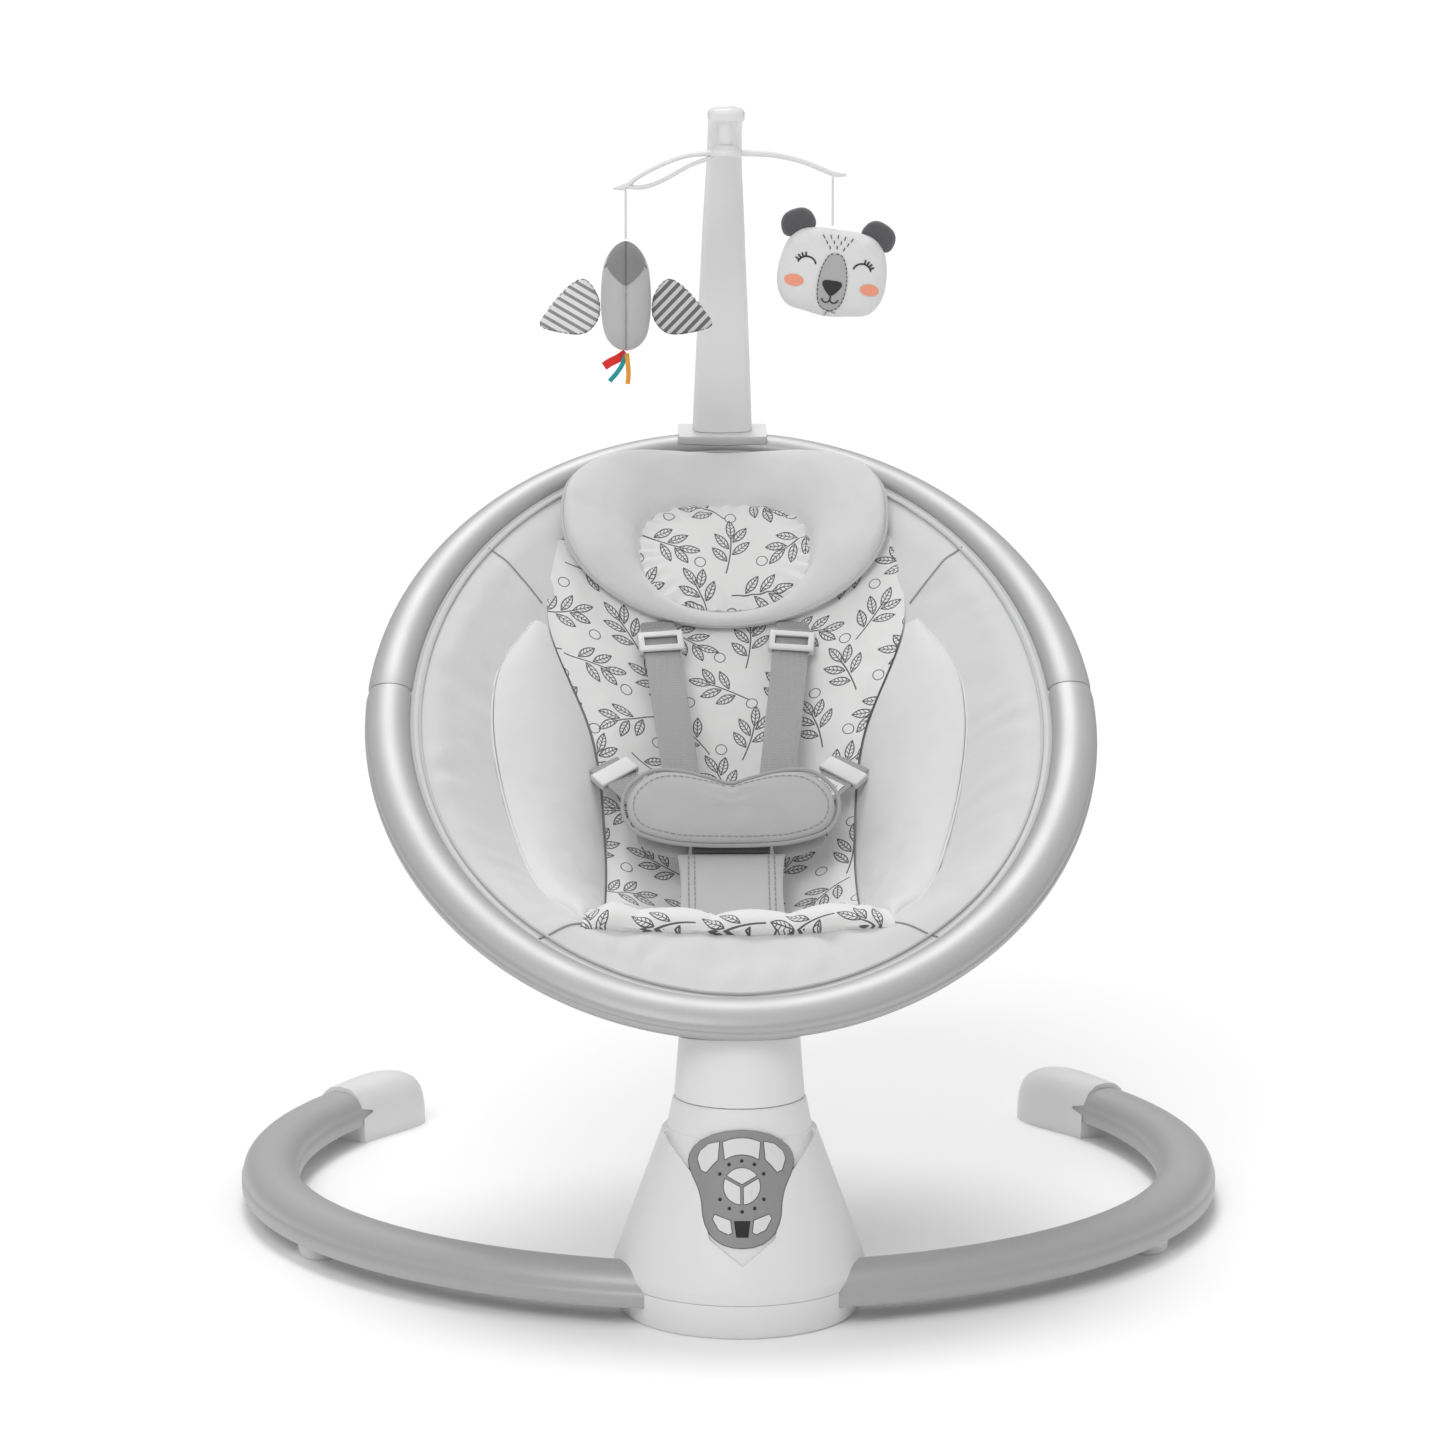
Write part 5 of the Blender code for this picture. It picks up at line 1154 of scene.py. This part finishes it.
def belly():
    outline = full_outline(BELLY_HALF)
    cushion = outline_pad("belly_cushion", outline, BELLY, BELLY_THICKNESS, "belly", "seat")
    inflate(cushion, 1.5, 0.0022)
    ruffle(cushion, BELLY, lambda local: 0.0010 * flat_crumple(local, 0.017, 21) * (1 if local.z > 0 else 0))
    refine(cushion)
    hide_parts("belly_pad")
    line = [BELLY @ Vector((x * 1.004, y * 1.01, 0.0006)) for x, y in outline]
    piece("belly_piping", cord_mesh("belly_piping", line, 0.0014, True, 8), "tabs", "seat")
    tree = tree_of(cushion)
    inset = [BELLY @ Vector((x * 0.90, y * 0.80 - 0.0003, 0)) for x, y in outline]
    out = BELLY.to_3x3() @ Vector((0, 0, 1))
    drawn("belly_stitches", tree, dashes(fine([*inset, inset[0]], 0.0006), 0.0026, 0.0010), 0.0005,
          "thread", "seat",
          -out)


def crotch():
    """The panel between the legs, with twin stitched borders, and the tabs at the buckle."""
    front, top = seat_point(0, -0.116, -0.0945), seat_point(0, -0.0586, -0.0815)
    along = (top - front).normalized()
    across = Vector((1, 0, 0))
    out = across.cross(along).normalized()
    length = (top - front).length

    def spot(u, v):
        wide = 0.0365 - 0.0045 * (v + 1) / 2 * (1 - (v + 1) / 2) * 4 * 0.5
        return front + along * length * (v + 1) / 2 + across * u * wide

    def over(u, v):
        crown = (1 - abs(u) ** 6) * (1 - abs(v) ** 8)
        wave = 0.0007 * crumple(spot(u, v), 0.02, 31)
        return spot(u, v) + out * (0.0030 * crown + 0.0040 + wave * crown)

    def under(u, v):
        return spot(u, v) + out * 0.0012

    panel = pad("crotch_panel", over, under, 44, 44, "crotch", "seat")
    refine(panel)
    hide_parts("crotch_pad")
    tree = tree_of(panel)
    lines = []
    for sign in (-1, 1):
        for inset in (0.0285, 0.0245):
            lines += dashes(fine([front + across * sign * inset + along * 0.002,
                                  top + across * sign * inset - along * 0.002], 0.0006), 0.0028, 0.0012)
    drawn("crotch_stitches", tree, lines, 0.0007, "thread", "seat", -out)
    for side, sign in SIDES:
        outline = smooth_ring([(sign * x, y) for x,
                               y in ((0.030, -0.0300), (0.046, -0.0295), (0.060, -0.0225),
                                                           (0.0625, -0.0130), (0.056, -0.0085),
                                     (0.040, -0.0110),
                                                           (0.029, -0.0150))], 5)
        outline_pad("buckle_tab_" + side, outline, BELLY @ Matrix.Translation((0, 0, -0.0112)), 0.0035,
                    "tabs", "seat",
                    6)


# Toy arm and mobile -------------------------------------------------------------

POST_LEAN = 17                  # degrees, towards the front
POST_GAP = 0.0003               # between the clamp and the post


def post():
    """The hooked post, its tip cap and the stem that carries the mobile."""
    clamp_top = Vector((0, 0.4729, 0.5155))
    lean = math.radians(POST_LEAN)
    up = Vector((0, -math.sin(lean), math.cos(lean)))
    base = clamp_top + up * POST_GAP
    route = [(base.y, base.z, 0.0215, 0.0110), (0.458, 0.570, 0.0192, 0.0098), (0.441, 0.625, 0.0165, 0.0088),
             (0.427, 0.668, 0.0145, 0.0080), (0.416, 0.697, 0.0128, 0.0076), (0.404, 0.7155, 0.0122, 0.0074),
             (0.388, 0.7285, 0.0118, 0.0070), (0.368, 0.7350, 0.0122, 0.0064),
             (0.349, 0.7365, 0.0128, 0.0058),
             (0.337, 0.7350, 0.0105, 0.0045)]
    places = smooth_line([Vector((y, z, wide)) for y, z, wide, _ in route], 8)
    depths = smooth_line([Vector((deep, 0, 0)) for *_, deep in route], 8)
    rings = []
    for index, (place, deep) in enumerate(zip(places, depths)):
        before, after = places[max(index - 1, 0)], places[min(index + 1, len(places) - 1)]
        along = Vector((0, after.x - before.x, after.y - before.y)).normalized()
        if index == 0:
            along = up
        across = Vector((1, 0, 0))
        thick = along.cross(across)
        round_end = 1 - 0.45 * blend(0.97, 1.0, index / (len(places) - 1))
        ring = []
        for turn in turns(32):
            c, s = math.cos(turn), math.sin(turn)
            ridge = 1 + 0.13 * math.exp(-((c - 0.18) / 0.11) ** 2) * (1 if s > 0 else 0)
            ring.append(Vector((0, place.x, place.y))
                        + across * place.z * round_end * squared(c, 0.6)
                        + thick * deep.x * round_end * ridge * squared(s, 0.6))
        rings.append(ring)
    arm = piece("hooked_post", loft("hooked_post", rings), "white", "arm")
    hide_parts("toy_arm")
    stem = [(0.0, 0.7165), (0.0044, 0.7165), (0.0048, 0.7175), (0.0048, 0.7300), (0.0062, 0.7330),
            (0.0, 0.7335)]
    piece("post_stem", turned("post_stem", stem, 32), "white", "arm")


def turned(name, profile, steps=48):
    """A turned shape about the mobile's upright axis, from (radius, height) points, bottom to top."""
    rings = [[Vector((max(r, 0.00001) * math.cos(t), MOBILE_BACK + max(r, 0.00001) * math.sin(t), z))
              for t in turns(steps)] for r, z in profile]
    return loft(name, rings)


def bar(name, route):
    """A slim arched bar through (x, z, half width, half height) places."""
    places = smooth_line([Vector((x, 0, z)) for x, z, _, _ in route], 8)
    sizes = smooth_line([Vector((wide, high, 0)) for _, _, wide, high in route], 8)
    rings = [[Vector((place.x, MOBILE_BACK + size.x * math.cos(t), place.z + size.y * math.sin(t)))
              for t in turns(18)] for place, size in zip(places, sizes)]
    return piece(name, loft(name, rings), "white", "mobile")


STRING_LENGTH, STRING_WIDTH = 0.033, 0.0016


def mobile():
    dome = [(0.0, 0.7083), (0.0105, 0.7083), (0.0115, 0.7090), (0.0115, 0.7115), (0.0108, 0.7128),
            (0.0090, 0.7140),
            (0.0088, 0.7148), (0.0070, 0.7160), (0.0, 0.7161)]
    hub = piece("mobile_hub", turned("mobile_hub", dome), "white", "mobile")
    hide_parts("mobile_hub_bar")
    bar("right_arched_bar", [(0.004, 0.7112, 0.0040, 0.0024), (0.030, 0.7100, 0.0036, 0.0021),
                             (0.052, 0.7052, 0.0034, 0.0019), (0.073, 0.6970, 0.0034, 0.0020),
                             (0.0825, 0.6962, 0.0012, 0.0010)])
    bar("left_upper_bar", [(-0.004, 0.7112, 0.0036, 0.0022), (-0.026, 0.7094, 0.0034, 0.0018),
                           (-0.046, 0.7022, 0.0034, 0.0017), (-0.060, 0.6948, 0.0034, 0.0018),
                           (-0.069, 0.6884, 0.0034, 0.0024), (-0.0775, 0.6868, 0.0010, 0.0008)])
    bar("left_lower_bar", [(-0.004, 0.7096, 0.0032, 0.0015), (-0.024, 0.7030, 0.0030, 0.0016),
                           (-0.042, 0.6932, 0.0030, 0.0017), (-0.056, 0.6880, 0.0030, 0.0016),
                           (-0.068, 0.6880, 0.0030, 0.0016)])
    for name, x, top, body in (("bird_string", -0.0690, 0.6857, "left_string"),
                               ("bear_string", 0.0730, 0.6947, "right_string")):
        places = [Vector((x, MOBILE_BACK, top - STRING_LENGTH * k / 12)) for k in range(13)]
        cord = piece(name + "_cotton", cord_mesh(name + "_cotton", places, STRING_WIDTH / 2, False, 12),
                     "string", body)
        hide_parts(name)


# Toys ---------------------------------------------------------------------------

BIRD_THICKNESS, BIRD_WING_THICKNESS = 0.030, 0.0052
BEAR_THICKNESS, EAR_THICKNESS = 0.034, 0.0078
FACE = Matrix(((1, 0, 0, 0), (0, 0, -1, 0), (0, 1, 0, 0),
               (0, 0, 0, 1)))   # drawn x and y stand up facing the front


def facing(x, z, tilt=0.0):
    return Matrix.Translation((x, MOBILE_BACK, z)) @ FACE @ Matrix.Rotation(math.radians(tilt), 4, "Z")


def oval(x, y, wide, tall, steps=36, start=0.0, end=360.0):
    return [Vector((x + wide * math.cos(t), y + tall * math.sin(t), 0))
            for t in (math.radians(start + (end - start) * k / steps) for k in range(steps + 1))]


def filled(name, tree, outline, at, paint, body, lift=0.0004):
    """A flat printed patch laid on a surface: its outline's rings are cast onto it."""
    middle = sum(outline, Vector()) / len(outline)
    rings = 7
    points, faces = [], []
    direction = Vector((0, 1, 0))
    count = len(outline)
    for ring in range(rings + 1):
        share = ring / rings
        for point in outline:
            start = at @ middle.lerp(point, max(share, 0.001))
            hit, normal, _, _ = tree.ray_cast(start - direction * CAST_FROM, direction)
            if not hit:
                hit, normal = start, -direction
            points.append(hit + (normal if normal.y < 0 else -normal) * lift)
    for ring in range(rings):
        faces += quads(range(ring * count, (ring + 1) * count), range((ring + 1) * count, (ring + 2) * count))
    return piece(name, mesh_from(name, points, faces), paint, body)


def bird():
    low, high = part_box("bird_body")
    middle = (low + high) / 2
    at = facing(middle.x, middle.z)
    half = [(0, 0.0385), (0.0060, 0.0362), (0.0118, 0.0300), (0.0156, 0.0215), (0.0172, 0.0110),
            (0.0178, -0.0040),
            (0.0166, -0.0200), (0.0136, -0.0300), (0.0075, -0.0365), (0, -0.0385)]
    body = outline_pad("bird_stuffed_body", full_outline(half, 5), at, BIRD_THICKNESS, "bird", "bird",
                       12)
    inflate(body, 2.0, 0.003)

    def gathered(local):
        seam = math.exp(-(local.x / 0.0022) ** 2) * (0.0012 if local.z > 0 else 0)
        pleats = 0.3 * math.sin(local.y * 1500) * math.exp(-(local.x / 0.006) ** 2)
        return 0.0006 * flat_crumple(local, 0.009, 41) - seam * (1 + pleats)

    ruffle(body, at, gathered)
    refine(body)
    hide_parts("bird_body")
    tree = tree_of(body)
    heart = patch_outline([(0, 0.0368), (0.0058, 0.0345), (0.0104, 0.0290), (0.0128, 0.0220),
                           (0.0094, 0.0150),
                           (0, 0.0075)], 4)
    filled("bird_face", tree, heart, at, "bird_face", "bird", 0.0005)
    seam = fine([at @ Vector((0, 0.036, 0)), at @ Vector((0, -0.036, 0))], 0.0006)
    slants = [[point + Vector((-0.0006, 0, 0.0005)),
               point + Vector((0.0006, 0, -0.0005))] for point in seam[::3]]
    drawn("bird_seam", tree, slants, 0.0004, "dark_thread", "bird", FRONT, 0.0008)
    for sign in (-1, 1):
        name = "bird_eye_left" if sign < 0 else "bird_eye_right"
        lash = [at @ Vector((sign * (0.0128 + 0.0007 * k), 0.0215 - 0.0012 * k, 0)) for k in range(3)]
        drawn(name, tree, [lash], 0.0009, "ink", "bird", FRONT)
    wing_half = [(0.0182, 0.0110), (0.027, 0.0235), (0.037, 0.0205), (0.050, 0.007), (0.0605, -0.0085),
                 (0.045, -0.0145), (0.028, -0.0150), (0.0180, -0.004)]
    wing_at = facing(middle.x, high.z - 0.050)
    for side, sign in SIDES:
        outline = smooth_ring([(sign * a, b) for a, b in wing_half], 6)
        wing = outline_pad("bird_striped_wing_" + side, outline, wing_at, BIRD_WING_THICKNESS,
                           side + "_stripes", "bird",
                           8)
        seed = 51 + sign
        ruffle(wing, wing_at, lambda local: 0.0012 * flat_crumple(local, 0.016, seed))
        refine(wing)
        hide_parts("bird_wing_" + side)
        wing_tree = tree_of(wing)
        hem = [wing_at @ Vector((x + (sign * 0.038 - x) * 0.05, y + (0.003 - y) * 0.07, 0)) for x,
               y in outline]
        drawn("wing_hem_" + side, wing_tree, dashes(fine([*hem, hem[0]], 0.0006), 0.0020, 0.0012), 0.0005,
              "dark_thread", "bird", FRONT)
    bird_ribbons(middle.x, low.z)


def bird_ribbons(x, top):
    """Three short tapes sewn in under the bird: a wide one, and two narrow ones."""
    routes = (("red", [(0.0, -0.0006), (-0.005, -0.0040), (-0.0110, -0.0070), (-0.0152, -0.0098)], 0.0058),
              ("teal", [(0.0, -0.0015), (-0.0030, -0.0090), (-0.0070, -0.0150), (-0.0115, -0.0200)], 0.0032),
              ("orange", [(0.0005, -0.0010), (0.0012, -0.0080), (0.0016, -0.0150), (0.0010, -0.0218)],
               0.0032))
    for number, (paint, route, width) in enumerate(routes):
        line = smooth_line([Vector((x + a, MOBILE_BACK - 0.0006 * number, top + b)) for a, b in route], 6)
        rings = []
        for index, point in enumerate(line):
            before, after = line[max(index - 1, 0)], line[min(index + 1, len(line) - 1)]
            along = (after - before).normalized()
            across = along.cross(Vector((0, 1, 0))).normalized() * width / 2
            thick = Vector((0, 0.00035, 0))
            curl = Vector((0, 0.0009 * math.sin(index * 0.5 + number), 0))
            rings.append([point + curl + across - thick, point + curl + across + thick,
                          point + curl - across + thick, point + curl - across - thick])
        tape_piece = piece(paint + "_tape", loft(paint + "_tape", rings), paint, "bird")
        if number == 0:
            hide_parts("bird_ribbons")


EAR_HALF = [(0, 0.0134), (0.0078, 0.0118), (0.0122, 0.0058), (0.0115, -0.0030), (0, -0.0062)]


def bear():
    low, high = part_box("bear_head")
    middle_x = (low.x + high.x) / 2
    at = facing(middle_x, low.z + 0.0315, -8)
    half = [(0, 0.0300), (0.012, 0.0302), (0.026, 0.0275), (0.0350, 0.0170), (0.0385, 0.0), (0.0370, -0.0150),
            (0.0290, -0.0262), (0.0140, -0.0295), (0, -0.0312)]
    head = outline_pad("bear_stuffed_head", full_outline(half, 6), at, BEAR_THICKNESS, "bear", "bear",
                       14)
    inflate(head, 2.2, 0.0035)

    def wrinkled(local):
        rim = math.hypot(local.x / 0.037, local.y / 0.030)
        return 0.0010 * flat_crumple(local, 0.012, 61) * blend(0.5, 0.95, rim)

    ruffle(head, at, wrinkled)
    refine(head)
    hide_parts("bear_head")
    tree = tree_of(head)
    for side, sign, lift in (("left", -1, 0.0), ("right", 1, -0.0020)):
        ear_at = at @ Matrix.Translation((sign * 0.0268, 0.0275 + lift,
                                          0.0)) @ Matrix.Rotation(-sign * 0.45, 4, "Z")
        ear = outline_pad("bear_ear_" + side, full_outline(EAR_HALF, 4), ear_at, EAR_THICKNESS, "ear", "bear",
                          7)
        refine(ear)
        x = sign * 0.0205
        filled("bear_cheek_" + side, tree, oval(x * 1.27, -0.0085, 0.0066, 0.0040)[:-1], at, "cheek",
               "bear")
        lid = [at @ point for point in oval(x - sign * 0.0015, 0.0030, 0.0062, 0.0056, 18, 12, 168)]
        lashes = [lid]
        for k in range(4):
            angle = math.radians((100 + 17 * k) if sign < 0 else (80 - 17 * k))
            inner = Vector((x - sign * 0.0015 + 0.0062 * math.cos(angle), 0.0030 + 0.0056 * math.sin(angle),
                            0))
            outer = inner + Vector((math.cos(angle), math.sin(angle), 0)) * 0.0030
            lashes.append([at @ inner, at @ outer])
        drawn("bear_eye_" + side, tree, lashes, 0.0011, "ink", "bear", FRONT)
    muzzle = patch_outline([(0, 0.0130), (0.0052, 0.0108), (0.0090, 0.0010), (0.0098, -0.0120),
                            (0.0070, -0.0225),
                            (0, -0.0262)], 5)
    filled("bear_muzzle", tree, muzzle, at, "muzzle", "bear", 0.0004)
    border = [at @ (point * 0.985) for point in [*muzzle, muzzle[0]]]
    drawn("bear_muzzle_stitches", tree, dashes(fine(border, 0.0005), 0.0016, 0.0007), 0.0006, "dark_thread",
          "bear",
          FRONT, 0.0008)
    nose = patch_outline([(0, -0.0053), (0.0058, -0.0059), (0.0062, -0.0095), (0, -0.0157)], 5)
    filled("bear_nose", tree, nose, at, "ink", "bear", 0.0008)
    smile = [[at @ point for point in oval(sign * 0.0027, -0.0178, 0.0027, 0.0026, 12, 180,
                                           360)] for sign in (-1, 1)]
    smile.append([at @ Vector((0, -0.0150, 0)), at @ Vector((0, -0.0178, 0))])
    drawn("bear_smile", tree, smile, 0.0009, "ink", "bear", FRONT, 0.0008)
    tufts = []
    for row in range(3):
        for k in range(5 - row):
            x = (k - (4 - row) / 2) * 0.0052
            y = 0.0255 - 0.0036 * row - abs(x) * 0.10
            tufts.append([at @ Vector((x, y, 0)), at @ Vector((x * 0.86, y - 0.0024, 0))])
    drawn("bear_tufts", tree, tufts, 0.0006, "ink", "bear", FRONT)
    chin = smooth_line([at @ Vector((x, y, 0)) for x,
                        y in ((-0.0020, -0.0295), (0.0, -0.0262), (0.0050, -0.0268))], 6)
    drawn("bear_chin_seam", tree, [chin], 0.0007, "thread", "bear", FRONT, 0.0009)


# Room ---------------------------------------------------------------------------

FLOOR_REACH = 40.0
DOME_LOW, DOME_HIGH = 0.34, 0.74    # the room's light at the horizon and overhead
BACKDROP = 1.05


def floor():
    mesh = bpy.data.meshes.new("studio_floor")
    corners = [(x * FLOOR_REACH, y * FLOOR_REACH, 0) for x, y in ((-1, -1), (1, -1), (1, 1), (-1, 1))]
    mesh.from_pydata(corners, [], [(0, 1, 2, 3)])
    obj = put_in_scene("studio_floor", mesh)
    shader = Shader("pale_floor", (0.97, 0.97, 0.97), 0.95)
    shader.surface.inputs["Specular IOR Level"].default_value = 0.1
    obj.data.materials.append(shader.material)


def sun(name, towards, spread, power):
    data = bpy.data.lights.new(name, "SUN")
    data.angle = math.radians(spread)
    data.energy = power
    obj = put_in_scene(name, data)
    obj.rotation_euler = Vector(towards).to_track_quat("-Z", "Y").to_euler()


def studio():
    """A white room whose light falls off towards the horizon, and two broad soft suns."""
    scene = bpy.context.scene
    world = bpy.data.worlds.new("studio")
    world.use_nodes = True
    tree = world.node_tree
    dome = tree.nodes["Background"]
    place = tree.nodes.new("ShaderNodeTexCoord")
    split = tree.nodes.new("ShaderNodeSeparateXYZ")
    span = tree.nodes.new("ShaderNodeMapRange")
    span.inputs["To Min"].default_value = DOME_LOW
    span.inputs["To Max"].default_value = DOME_HIGH
    tree.links.new(place.outputs["Generated"], split.inputs[0])
    tree.links.new(split.outputs["Z"], span.inputs["Value"])
    tree.links.new(span.outputs["Result"], dome.inputs["Strength"])
    backdrop = tree.nodes.new("ShaderNodeBackground")
    seen = tree.nodes.new("ShaderNodeLightPath")
    mix = tree.nodes.new("ShaderNodeMixShader")
    tree.links.new(seen.outputs["Is Camera Ray"], mix.inputs["Fac"])
    tree.links.new(dome.outputs[0], mix.inputs[1])
    tree.links.new(backdrop.outputs[0], mix.inputs[2])
    tree.links.new(mix.outputs[0], tree.nodes["World Output"].inputs["Surface"])
    dome.inputs["Color"].default_value = (1, 1, 1, 1)
    backdrop.inputs["Color"].default_value = (1, 1, 1, 1)
    backdrop.inputs["Strength"].default_value = BACKDROP
    scene.world = world
    scene.view_settings.view_transform = "Standard"
    sun("key", (0.30, 0.80, -0.80), 30, 0.75)
    sun("top", (0.06, -0.40, -1.0), 22, 1.05)
    floor()


LENS, SENSOR = 95.97, 36        # millimetres
CAMERA_DISTANCE = 2.5325        # from the hoop's middle, along the floor
CAMERA_HEIGHT = 0.685
CAMERA_SHIFT = -0.0056          # sideways
CAMERA_HEADING, CAMERA_PITCH = -1.3, 7.85


def camera():
    """A long lens at about the swing's full height, aimed slightly down."""
    data = bpy.data.cameras.new("camera")
    data.lens = LENS
    data.sensor_width = SENSOR
    obj = put_in_scene("camera", data)
    heading = math.radians(CAMERA_HEADING)
    centre = Vector((0, HOOP_CENTRE.y, 0))
    obj.location = centre + Vector((CAMERA_DISTANCE * math.sin(heading) + CAMERA_SHIFT,
                                    -CAMERA_DISTANCE * math.cos(heading), CAMERA_HEIGHT))
    obj.rotation_euler = (math.radians(90 - CAMERA_PITCH), 0, heading)
    bpy.context.scene.camera = obj


camera()
studio()
keep_cad_nodes()
floor_tubes()
hoop_halves()
sling()
liner()
wings()
pillow()
harness()
belly()
crotch()
post()
mobile()
bird()
bear()
